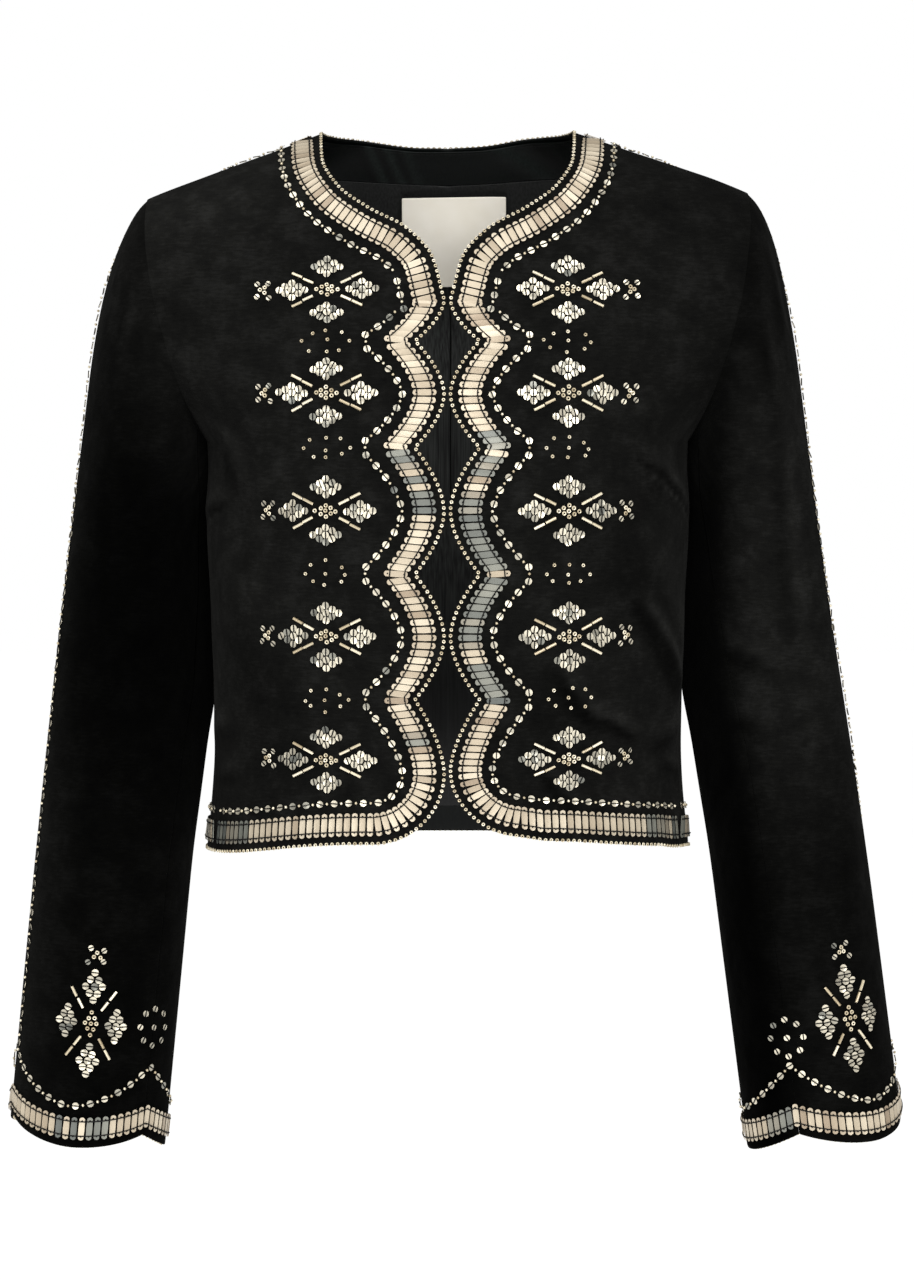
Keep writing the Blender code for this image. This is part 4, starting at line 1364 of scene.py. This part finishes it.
# A place between two samples of a line counts as kept from this share of them
KEPT_SHARE = 0.99
# Trim on the fronts stops just short of the shoulder seam, and round the back neck short of it too
SEAM_SHORT = 0.998
BACK_NECK_END = math.radians(86)
# The trim lies nearer to the back neck's edge than its distance, and nearest at the shoulder seam
BACK_NECK_SHARE = 0.86
BACK_NECK_NARROWING = 0.50
# The row over a sleeve stops below the armhole, starts again at the shoulder tip and ends at the neck
SLEEVE_ROW_TOP = 0.012
SHOULDER_ROW_START = 0.0025
SHOULDER_ROW_END = 0.0105
SHOULDER_ROW_TURN = 0.012
SHOULDER_ROW_FORWARD = 0.6


def front_line(side, distance, peak=0.0):
    edge = np.concatenate([neck_edge(NECK_FINE)[::-1], scalloped_edge(SCALLOP_FINE)[::-1]])
    edge = np.concatenate([edge, corner_edge(np.linspace(0, math.pi / 2, CORNER_FINE))[1:]])
    away = distance + peak * np.abs(edge[:, 4]) ** PEAK_POWER
    x = edge[:, 0] + away * edge[:, 2]
    z = edge[:, 1] + away * edge[:, 3]
    kept = x < SEAM_SHORT * body_half_width(z)
    angle = angle_at(x, z, False)
    hem_angle = np.linspace(corner_end(), side_seam(HEM_Z), HEM_FINE)[1:]
    hem_height = hem_line(hem_angle) + distance
    kept = np.concatenate([kept, hem_angle < side_seam(hem_height) - BAND_END])
    angle = np.concatenate([angle, np.minimum(hem_angle, side_seam(hem_height) - BAND_END)])
    points, normals = body(angle, np.concatenate([z, hem_height]), side)
    points[:, 1] += SEAM_LAP / 2
    return points, normals, kept


def back_line(angle, height, side):
    """Joins both sides of a line over the back; side is the sign of x."""
    points, normals = body(angle, height, 1)
    other, other_normals = body(angle, height, -1)
    left = (side > 0)[:, None]
    points = np.where(left, points, other)
    points[:, 1] -= SEAM_LAP / 2
    return points, np.where(left, normals, other_normals), np.ones(len(angle), bool)


def back_hem_line(distance, peak=0.0):
    share = np.linspace(-1, 1, 2 * HEM_FINE)
    height = np.full(len(share), HEM_Z + distance)
    end = side_seam(height) + BAND_END
    return back_line(math.pi + (end - math.pi) * np.abs(share), height, np.sign(share))


def back_neck_line(distance, peak=0.0):
    share = np.linspace(-1, 1, 2 * NECK_FINE)
    turns = np.abs(share) * BACK_NECK_END
    drop = distance * (BACK_NECK_SHARE - BACK_NECK_NARROWING * np.sin(turns) ** 2)
    return back_line(math.pi - turns, back_neck(turns) - drop, np.sign(share))


def cuff_line(side, distance, peak=0.0):
    lap = np.linspace(-1, 2, CUFF_FINE)
    part = np.where(np.abs(lap) <= 1, np.abs(lap), np.abs(lap) - 1)
    away = distance + peak * np.abs(2 * part - 1) ** CUFF_ROW_POWER
    along = cuff_share(lap) - away / -CUFF_Z
    points, normals = sleeve(sleeve_turn(lap, along, side), along, side)
    return points, normals, np.ones(len(lap), bool)


def sleeve_line(side):
    """Up the outside of a sleeve from its cuff, then along the shoulder seam to the neck."""
    start = float(cuff_share(np.float64(0))) - (CUFF_ROW_DISTANCE + CUFF_ROW_PEAK) / -CUFF_Z
    along = np.linspace(start, SLEEVE_ROW_TOP, SLEEVE_FINE)
    turn = np.radians(smooth(SLEEVE_ROW_TURNS[side], along))
    points, normals = sleeve(turn, along, side)
    height = np.linspace(SHOULDER_ROW_START, NECK_Z - SHOULDER_ROW_END, SHOULDER_FINE)
    forward = SHOULDER_ROW_FORWARD * ease((height - SHOULDER_ROW_TURN) / SHOULDER_ROW_TURN)
    back = SHOULDER_ROW_BACK * (1 - forward)
    seam, seam_normals = body(math.pi / 2 + back, height, SIDES[side][0])
    points = np.concatenate([points, seam])
    return points, np.concatenate([normals, seam_normals]), np.ones(len(points), bool)


def spaced(points, pitch):
    """Places at an even pitch along a line, as numbers of its samples."""
    length = np.concatenate([[0], np.cumsum(np.linalg.norm(np.diff(points, axis=0), axis=1))])
    count = int(round(length[-1] / pitch))
    return np.interp((np.arange(count) + 0.5) * length[-1] / count, length, np.arange(len(points)))


def read_at(values, places):
    low = np.minimum(places.astype(int), len(values) - 2)
    part = places - low
    part = part.reshape(-1, *[1] * (values.ndim - 1))
    return values[low] * (1 - part) + values[low + 1] * part


def unit(vectors):
    return vectors / np.linalg.norm(vectors, axis=-1, keepdims=True)


# Small shapes, each modelled once and then copied along the lines


def start_shape(add, **settings):
    """Adds a primitive with nothing else selected, and opens it for editing by faces."""
    bpy.ops.object.select_all(action="DESELECT")
    add(**settings)
    bpy.ops.object.mode_set(mode="EDIT")
    bpy.ops.mesh.select_mode(type="FACE")


def pick_faces(rule):
    """Selects the faces of the shape in hand whose normals fit a rule."""
    mesh = bmesh.from_edit_mesh(bpy.context.object.data)
    for face in mesh.faces:
        face.select_set(bool(rule(face.normal)))
    bmesh.update_edit_mesh(bpy.context.object.data)


def take_shape():
    """Closes the shape in hand and returns its points and faces."""
    bpy.ops.object.mode_set(mode="OBJECT")
    thing = bpy.context.object
    points = np.array([vertex.co for vertex in thing.data.vertices])
    faces = [list(face.vertices) for face in thing.data.polygons]
    mesh = thing.data
    bpy.data.objects.remove(thing)
    bpy.data.meshes.remove(mesh)
    return points, faces


def dished_disc(diameter, depth, rim, dish):
    """A flat round piece whose face is pressed in inside a rim; it lies on z = 0."""
    start_shape(
        bpy.ops.mesh.primitive_cylinder_add,
        vertices=DISC_SIDES,
        radius=diameter / 2,
        depth=depth,
        location=(0, 0, depth / 2),
    )
    bpy.ops.object.mode_set(mode="OBJECT")
    bpy.ops.object.transform_apply(location=True)
    bpy.ops.object.mode_set(mode="EDIT")
    pick_faces(lambda normal: normal.z > FACES_ALONG)
    bpy.ops.mesh.inset(thickness=rim)
    bpy.ops.transform.translate(value=(0, 0, -dish))
    return take_shape()


def plate_shape():
    """A long plate with round ends and a slightly sunk face; its length runs along x."""
    points, faces = dished_disc(PLATE_WIDTH, *PLATE_DISH)
    stretch = np.where(np.abs(points[:, 0]) < 1e-5, 0, np.sign(points[:, 0]))
    points[:, 0] += stretch * (PLATE_LENGTH - PLATE_WIDTH) / 2
    return points, faces


def ring_shape(diameter):
    start_shape(
        bpy.ops.mesh.primitive_torus_add,
        major_radius=diameter * RING_MAJOR,
        minor_radius=diameter * RING_MINOR,
        major_segments=9,
        minor_segments=5,
    )
    return take_shape()


def bead_shape(diameter):
    start_shape(bpy.ops.mesh.primitive_uv_sphere_add, segments=8, ring_count=6, radius=diameter / 2)
    bpy.ops.mesh.select_all(action="SELECT")
    bpy.ops.transform.resize(value=BEAD_SQUASH)
    return take_shape()


def bugle_shape():
    """A short glass tube along x with sunk ends."""
    start_shape(
        bpy.ops.mesh.primitive_cylinder_add,
        vertices=8,
        radius=BUGLE_WIDTH / 2,
        depth=BUGLE_LENGTH,
    )
    for end in (1, -1):
        pick_faces(lambda normal: normal.z * end > FACES_ALONG)
        bpy.ops.mesh.inset(thickness=BUGLE_WIDTH * BUGLE_WALL)
        bpy.ops.transform.translate(value=(0, 0, -end * BUGLE_WIDTH * BUGLE_SUNK))
    points, faces = take_shape()
    return points[:, [2, 0, 1]], faces


def hole_shape():
    """A dark dot where a thread goes down through the end of a plate."""
    start_shape(bpy.ops.mesh.primitive_cylinder_add, vertices=6, radius=HOLE / 2, depth=HOLE_DEPTH)
    return take_shape()


def stitch_shape(length, width):
    """A straight stitch along x."""
    start_shape(bpy.ops.mesh.primitive_cylinder_add, vertices=6, radius=width / 2, depth=length)
    points, faces = take_shape()
    return points[:, [2, 0, 1]], faces


def scatter(name, shape, spots, finish, tones=None):
    """One mesh with a copy of a shape at every spot: (origins, headings, normals)."""
    points, faces = shape
    origins, headings, normals = spots
    normals = unit(normals)
    headings = unit(headings - normals * np.sum(headings * normals, -1, keepdims=True))
    sides = np.cross(normals, headings)
    placed = origins[:, None] + points[:, 0, None] * headings[:, None]
    placed = placed + points[:, 1, None] * sides[:, None] + points[:, 2, None] * normals[:, None]
    count = len(points)
    copies = [[n + count * k for n in face] for k in range(len(origins)) for face in faces]
    thing = new_object(name, placed.reshape(-1, 3), copies, (finish,))
    thing.data.set_sharp_from_angle(angle=SHARP_ANGLE)
    tone = thing.data.attributes.new("tone", "FLOAT", "POINT")
    tones = rng.uniform(0, 1, len(origins)) if tones is None else tones
    tone.data.foreach_set("value", np.repeat(tones, count).astype(np.float32))
    return thing


def tilted(normals, degrees):
    """Normals that lean a little, each its own way, as hand-sewn pieces do."""
    return unit(normals + rng.normal(0, math.tan(math.radians(degrees)), normals.shape))


def sweep(name, lines, radius, finish):
    """Threads: thin tubes along lines of (points, normals)."""
    all_points = []
    all_faces = []
    turns = np.linspace(0, 2 * math.pi, THREAD_SIDES, endpoint=False)[:, None]
    for points, normals in lines:
        runs = unit(np.gradient(points, axis=0))
        sides = unit(np.cross(runs, normals))
        around = np.cos(turns) * sides[:, None] + np.sin(turns) * np.cross(sides, runs)[:, None]
        rings = points[:, None] + radius * around
        base = sum(len(p) for p in all_points)
        all_points.append(rings.reshape(-1, 3))
        for ring in range(len(points) - 1):
            low = base + ring * THREAD_SIDES
            high = low + THREAD_SIDES
            for n in range(THREAD_SIDES):
                after = (n + 1) % THREAD_SIDES
                all_faces.append((low + n, low + after, high + after, high + n))
        last = base + (len(points) - 1) * THREAD_SIDES
        all_faces.append([base + n for n in reversed(range(THREAD_SIDES))])
        all_faces.append([last + n for n in range(THREAD_SIDES)])
    return new_object(name, np.concatenate(all_points), all_faces, (finish,))


# Trim

TRIM_LINES = {
    "front_left": lambda distance, peak=0.0: front_line(1, distance, peak),
    "front_right": lambda distance, peak=0.0: front_line(-1, distance, peak),
    "back_hem": back_hem_line,
    "back_neck": back_neck_line,
    "cuff_left": lambda distance, peak=0.0: cuff_line("left", distance, peak),
    "cuff_right": lambda distance, peak=0.0: cuff_line("right", distance, peak),
}

# Tones run from 0, cool and grey, to 1, pale champagne
PLATE_TONE = (0.78, 0.16)
PLATE_DARKEST = 0.5
BROWN_SHARE = 0.05
BROWN_TONE = 0.42
GREY_AND_SHADED_SHARE = 0.8
GREY_AND_SHADED_LIGHTEST = 0.36
SEQUIN_TONE = (0.72, 0.24)
SEQUIN_DARKEST = 0.08

# Runs of plates that are cool and grey, and runs painted dark as shade where the back's plates turn edge on
# near the side seams, by the axis and the reach of the run
# Columns: row, axis, from, to
GREY_AND_SHADED_ROWS = (
    ("front_left", 2, -0.325, -0.152),
    ("front_left", 0, 0.125, 0.150),
    ("front_right", 2, -0.350, -0.331),
    ("front_right", 2, -0.205, -0.165),
    ("front_right", 0, -0.150, -0.125),
    ("cuff_left", 0, 0.205, 0.222),
    ("cuff_right", 0, -0.262, -0.214),
    ("back_hem", 0, 0.030, 0.090),
    # Painted shade: plates near the back's side seams, seen edge on, made dark
    ("back_hem", 0, 0.138, 0.165),
    ("back_hem", 0, -0.165, -0.138),
    ("back_neck", 0, -0.030, 0.010),
)


def plate_tones(name, origins):
    """Mostly champagne, a few brownish, some cool runs, and some runs painted dark as shade."""
    count = len(origins)
    tones = np.clip(rng.normal(*PLATE_TONE, count), PLATE_DARKEST, 1)
    tones = np.where(rng.uniform(0, 1, count) < BROWN_SHARE, BROWN_TONE, tones)
    for row, axis, low, high in GREY_AND_SHADED_ROWS:
        if row == name:
            inside = (origins[:, axis] > low) & (origins[:, axis] < high)
            grey = inside & (rng.uniform(0, 1, count) < GREY_AND_SHADED_SHARE)
            tones = np.where(grey, rng.uniform(0.0, GREY_AND_SHADED_LIGHTEST, count), tones)
    return tones


def plate_row(name, line, shape):
    """Plates side by side along a band, and the two threads with their holes that hold them."""
    middle, normals, kept = line((BAND_NEAR + BAND_FAR) / 2)
    near, _, near_kept = line(BAND_NEAR)
    far, _, far_kept = line(BAND_FAR)
    whole = (kept & near_kept & far_kept).astype(float)
    places = spaced(middle, PLATE_PITCH)
    places = places[read_at(whole, places) > KEPT_SHARE]
    out = read_at(normals, places)
    run = unit(read_at(np.gradient(middle, axis=0), places))
    across = unit(read_at(far - near, places))
    out = unit(out + run * math.tan(PLATE_SHINGLE))
    origins = (read_at(near, places) + read_at(far, places)) / 2 + out * TOP
    plates = scatter(f"plates_{name}", shape, (origins, across, out), "plate", plate_tones(name, origins))
    holes = []
    for end in (-1, 1):
        spot = origins + across * end * (PLATE_LENGTH / 2 - THREAD_INSET * HOLE_SHARE) + out * HOLE_LIFT
        holes.append((spot, across, out))
    threads = []
    for distance in (BAND_NEAR + THREAD_INSET, BAND_FAR - THREAD_INSET):
        points, line_normals, _ = line(distance)
        keep = whole > KEPT_SHARE
        lifted = points + line_normals * (TOP + THREAD_LIFT)
        threads.append((lifted[keep][::THREAD_STEP], line_normals[keep][::THREAD_STEP]))
    return plates, holes, threads


def join_spots(spots):
    return tuple(np.concatenate(parts) for parts in zip(*spots))


def line_spots(line, pitch, lift):
    points, normals, kept = line
    places = spaced(points, pitch)
    places = places[read_at(kept.astype(float), places) > KEPT_SHARE]
    out = unit(read_at(normals, places))
    return read_at(points, places) + out * lift, unit(read_at(np.gradient(points, axis=0), places)), out


def lattice(step):
    """Nine places of a diamond."""
    return [((i + j) * step[0], (i - j) * step[1]) for i in (-1, 0, 1) for j in (-1, 0, 1)]


def oval(radii, count):
    turns = [2 * math.pi * n / count for n in range(count)]
    return [(radii[0] * math.cos(t), radii[1] * math.sin(t)) for t in turns] + [(0.0, 0.0)]


def front_spot(side, x, z):
    """A place on a front: a function of distances outward and up that gives points and normals."""

    def at(u, v):
        height = z + v
        step = 1e-3
        middle = angle_at(x, height, False)
        angle = middle
        for _ in range(3):
            half = (middle + angle) / 2
            stretch = np.linalg.norm(body_form(half + step, height) - body_form(half - step, height), axis=-1)
            angle = middle + u / (stretch / (2 * step))
        points, normals = body(angle, height, side)
        points[..., 1] += SEAM_LAP / 2
        return points, normals

    return at


def cuff_spot(side, lap, up, spread_by=(1.0, 1.0)):
    """A place on a sleeve above its cuff; the first distance runs up the sleeve, the second round it."""
    middle = float(cuff_share(np.float64(lap))) - up / -CUFF_Z
    turn = float(sleeve_turn(np.float64(lap), np.float64(middle), side))

    def at(u, v):
        along = middle - u * spread_by[0] / -CUFF_Z
        return sleeve(turn + v * spread_by[1] / SLEEVE_RADIUS, along, side)

    return at


def motif_spots(at, places, lift, heading=0.0, wander=HAND_WANDER):
    """Spots for pieces at (u, v) places of a motif, a little uneven as sewn by hand.

    heading turns the pieces from the motif's first axis.
    """
    u = np.array([place[0] for place in places]) + rng.normal(0, wander, len(places))
    v = np.array([place[1] for place in places]) + rng.normal(0, wander, len(places))
    step = 5e-4
    points, normals = at(u, v)
    first = unit(at(u + step, v)[0] - at(u - step, v)[0])
    second = unit(at(u, v + step)[0] - at(u, v - step)[0])
    heading = np.broadcast_to(heading, u.shape)[:, None]
    return points + normals * lift, first * np.cos(heading) + second * np.sin(heading), normals


def floret(at, spots, outward, bugle_heading):
    """Adds one floret: outward is the direction along its first axis in which its tip lies."""
    spots["floret_ring"].append(motif_spots(at, lattice(CENTRE_STEP), RING_LIFT))
    for u, v in DIAMOND_CENTRES:
        places = [(u + du, v + dv) for du, dv in lattice(DIAMOND_STEP)]
        spots["floret_sequin"].append(motif_spots(at, places, SEQUIN_LIFT, math.pi / 2))
    for across in (1, -1):
        for up in (1, -1):
            heading = math.atan2(up * math.sin(bugle_heading), across * math.cos(bugle_heading))
            places = []
            for start in BUGLE_STARTS:
                reach = start + BUGLE_LENGTH / 2 - BUGLE_SHIFT
                places.append((reach * math.cos(heading), reach * math.sin(heading)))
            spots["bugle"].append(motif_spots(at, places, BUGLE_WIDTH / 2, heading))
    cups = [(outward * (TIP_CENTRE + u), v) for u, v in TIP_CUPS]
    spots["cup"].append(motif_spots(at, cups, CUP_LIFT, CUP_HEADING))
    rings = [(outward * (TIP_CENTRE + u), v) for u, v in TIP_RINGS]
    spots["floret_ring"].append(motif_spots(at, rings, RING_LIFT))


SEQUIN_SIZES = {
    "row_sequin": ROW_SEQUIN,
    "floret_sequin": FLORET_SEQUIN,
    "cuff_sequin": CUFF_RING_SEQUIN,
    "cup": TIP_CUP,
}


def make_trim():
    """All that is sewn on, as joined meshes."""
    made = {}
    plate = plate_shape()
    holes = []
    threads = []
    spots = {key: [] for key in (*SEQUIN_SIZES, "edge_bead", "row_bead", "floret_ring", "bugle", "dot")}
    for name, line in TRIM_LINES.items():
        made[f"plates_{name}"], new_holes, new_threads = plate_row(name, line, plate)
        holes += new_holes
        threads += new_threads
        cuff = name.startswith("cuff")
        # The cuffs' beads lie just inside the edge
        lift = -CLOTH - EDGE_BEAD_LIFT if cuff else EDGE_BEAD_LIFT
        spots["edge_bead"].append(line_spots(line(EDGE_BEAD_IN), EDGE_BEAD_PITCH, lift))
        row = line(CUFF_ROW_DISTANCE, CUFF_ROW_PEAK) if cuff else line(ROW_DISTANCE, ROW_PEAK)
        add_row(row, spots)
    for side_name, (side, *_) in SIDES.items():
        add_row(sleeve_line(side_name), spots)
        for z in FLORET_HEIGHTS:
            floret(front_spot(side, FLORET_X, z), spots, 1, BUGLE_HEADING)
        for z in CUSP_HEIGHTS:
            at = front_spot(side, FLORET_X, z)
            dots = motif_spots(at, oval(DOT_RING, DOT_COUNT), SEQUIN_LIFT, wander=DOT_WANDER)
            spots["dot"].append(dots)
        at = cuff_spot(side_name, CUFF_FLORET_LAPS[side_name], CUFF_FLORET_UP, CUFF_FLORET_SPREAD)
        floret(at, spots, 1, CUFF_BUGLE_HEADING)
        at = cuff_spot(side_name, 1.0, CUFF_RING_UPS[side_name])
        ring = motif_spots(at, oval(CUFF_RING, DOT_COUNT), SEQUIN_LIFT, CUFF_RING_HEADING)
        spots["cuff_sequin"].append(ring)
    spots = {key: join_spots(found) for key, found in spots.items()}
    stitches = []
    for key, size in SEQUIN_SIZES.items():
        origins, headings, normals = spots[key]
        normals = tilted(normals, SEQUIN_TILT)
        headings = tilted(headings, SEQUIN_TURN)
        shape = dished_disc(size, SEQUIN_DEPTH, size * SEQUIN_RIM, SEQUIN_DISH)
        tones = np.clip(rng.normal(*SEQUIN_TONE, len(origins)), SEQUIN_DARKEST, 1)
        made[f"{key}s"] = scatter(f"{key}s", shape, (origins, headings, normals), "sequin", tones)
        stitch = stitch_shape(size * STITCH_SHARE, STITCH_WIDTH)
        stitches.append((stitch, (origins + normals * STITCH_LIFT, headings, normals)))
    for number, (stitch, where) in enumerate(stitches):
        made[f"stitches_{number}"] = scatter(f"stitches_{number}", stitch, where, "thread")
    beads = {
        "row_beads": (bead_shape(ROW_BEAD), "row_bead"),
        "edge_beads": (ring_shape(EDGE_BEAD), "edge_bead"),
        "floret_rings": (ring_shape(FLORET_RING), "floret_ring"),
        "dot_rings": (ring_shape(EDGE_BEAD), "dot"),
        "bugles": (bugle_shape(), "bugle"),
    }
    for name, (shape, key) in beads.items():
        made[name] = scatter(name, shape, spots[key], "bead")
    made["plate_holes"] = scatter("plate_holes", hole_shape(), join_spots(holes), "thread")
    made["plate_threads"] = sweep("plate_threads", threads, THREAD, "thread")
    return made


def add_row(line, spots):
    """Sequins with one small bead between each two."""
    origins, headings, normals = line_spots(line, ROW_PITCH / 2, SEQUIN_LIFT)
    # A row that turns sharply would bunch up, so pieces too near to an earlier one are left out
    kept = []
    for number, origin in enumerate(origins):
        if all(np.linalg.norm(origin - origins[other]) > ROW_CLEAR for other in kept[-ROW_LOOK_BACK:]):
            kept.append(number)
    origins, headings, normals = origins[kept], headings[kept], normals[kept]
    spots["row_sequin"].append((origins[::2], headings[::2], normals[::2]))
    lift = normals[1::2] * (ROW_BEAD / 2 - ROW_BEAD_SINK)
    spots["row_bead"].append((origins[1::2] + lift, headings[1::2], normals[1::2]))


def neck_topstitch():
    """Machine stitches just under the neck edge of the facing."""
    turns = np.linspace(-FACING_END, FACING_END, TOPSTITCH_FINE)
    height = back_neck(np.abs(turns)) - TOPSTITCH_DROP
    across = np.sign(turns) * body_form(math.pi - np.abs(turns), height)[:, 0]
    points, normals = label_place(across, height, CLOTH + LAYER_GAP + LINING)
    places = spaced(points, TOPSTITCH_PITCH)
    spots = (read_at(points, places), read_at(np.gradient(points, axis=0), places), -read_at(normals, places))
    return scatter("facing_topstitch", stitch_shape(*TOPSTITCH), spots, "thread")


def pleat_shadow_line():
    """A black line in the thread finish, painted as the deep shadow in the pleat at the lining's centre back.
    """
    height = np.linspace(*PLEAT_SHADOW_HEIGHTS, PLEAT_FINE)
    depth = CLOTH + LAYER_GAP + LINING + PLEAT_SHADOW_DEPTH
    points, normals = label_place(np.full(PLEAT_FINE, PLEAT_SHADOW_X), height, depth)
    return sweep("pleat_shadow_line", [(points, -normals)], PLEAT_SHADOW_RADIUS, "thread")


# What each piece stands for: the node of the part that it hides

NODES = {"facing_back_neck": "back_neck_facing", "lining_back_body": "lining_back", "label_patch": "label"}


def node_of(piece):
    """The node that a cloth piece stands for."""
    return NODES.get(piece, piece.removeprefix("velvet_"))


def make_cloth():
    pieces = [back_cloth(), facing_cloth(), lining_cloth(), label_patch()]
    for side_name, (side, *_) in SIDES.items():
        pieces.append(front_cloth(side_name, side))
        pieces += sleeve_pair(side_name)
    for piece in pieces:
        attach(piece, "root")
        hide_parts(node_of(piece.name))


def dress_trim():
    for name, piece in make_trim().items():
        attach(piece, "root")
        if name.startswith("plates_"):
            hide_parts(name.replace("plates_", "plate_band_"))
    # The facing's topstitch, and the black line painted as the pleat's shadow
    for stitches in (neck_topstitch(), pleat_shadow_line()):
        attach(stitches, "root")


# Stage: a pale floor, soft studio light and a camera level with the chest, turned slightly down

CAMERA_X = 0.006
CAMERA_AWAY = 2.5
CAMERA_Z = -0.159
AIM_Z = -0.289
VIEW_HEIGHT = 0.832
SENSOR_MM = 36.0
FLOOR_Z = -1.40
FLOOR_HALF = 20.0
# Columns: name, place, size, watts
LIGHT_ROWS = (
    ("key_softbox", (1.0, -2.5, 0.75), 1.4, 42),
    ("fill_softbox", (-1.1, -2.4, 0.35), 1.4, 28),
    ("low_softbox", (0.0, -2.6, -1.0), 1.2, 5),
)
SUN_TILT = math.radians(24)
SUN_SPREAD = math.radians(50)
SUN_STRENGTH = 1.6
AMBIENT = 0.22


def make_camera():
    data = bpy.data.cameras.new("camera")
    camera = add_to_scene("camera", data)
    drop = CAMERA_Z - AIM_Z
    camera.location = (CAMERA_X, -CAMERA_AWAY, CAMERA_Z)
    camera.rotation_euler = (math.pi / 2 - math.atan2(drop, CAMERA_AWAY), 0, 0)
    data.sensor_width = SENSOR_MM
    data.lens = SENSOR_MM * math.hypot(CAMERA_AWAY, drop) / VIEW_HEIGHT
    bpy.context.scene.camera = camera


def make_light(name, place, size, watts):
    data = bpy.data.lights.new(name, "AREA")
    data.size = size
    data.energy = watts
    light = add_to_scene(name, data)
    light.location = place
    aim = light.location.copy()
    aim.z -= AIM_Z
    light.rotation_euler = aim.to_track_quat("Z", "Y").to_euler()


def make_sun():
    data = bpy.data.lights.new("overhead", "SUN")
    data.energy = SUN_STRENGTH
    data.angle = SUN_SPREAD
    add_to_scene("overhead", data).rotation_euler = (SUN_TILT, 0, 0)


def make_world():
    """A white room to look at, whose walls light the jacket only softly."""
    world = bpy.data.worlds.new("studio")
    bpy.context.scene.world = world
    world.use_nodes = True
    tree = world.node_tree
    tree.nodes.clear()
    seen = add_node(tree, "ShaderNodeBackground", color=linear("#FFFFFF"), strength=1.0)
    lit = add_node(tree, "ShaderNodeBackground", color=linear("#FFFFFF"), strength=AMBIENT)
    path = add_node(tree, "ShaderNodeLightPath")
    mix = add_node(tree, "ShaderNodeMixShader", {"Fac": path.outputs["Is Camera Ray"]})
    tree.links.new(lit.outputs[0], mix.inputs[1])
    tree.links.new(seen.outputs[0], mix.inputs[2])
    add_node(tree, "ShaderNodeOutputWorld", {"Surface": mix.outputs[0]})


def make_floor():
    """A plain pale floor, matt, lit from beneath as a studio sweep is, so that it runs into the white."""
    bpy.ops.object.select_all(action="DESELECT")
    bpy.ops.mesh.primitive_plane_add(size=2 * FLOOR_HALF, location=(0, 0, FLOOR_Z))
    floor = bpy.context.object
    floor.name = "floor"
    material, _, _ = start_material(
        "pale_floor",
        Roughness=0.9,
        Base_Color=linear("#F6F6F5"),
        Emission_Color=linear("#FFFFFF"),
        Emission_Strength=0.40,
    )
    floor.data.materials.append(material)


make_camera()
make_world()
make_sun()
for light_row in LIGHT_ROWS:
    make_light(*light_row)
make_floor()
make_cloth()
dress_trim()
bpy.context.scene.view_settings.view_transform = "Standard"
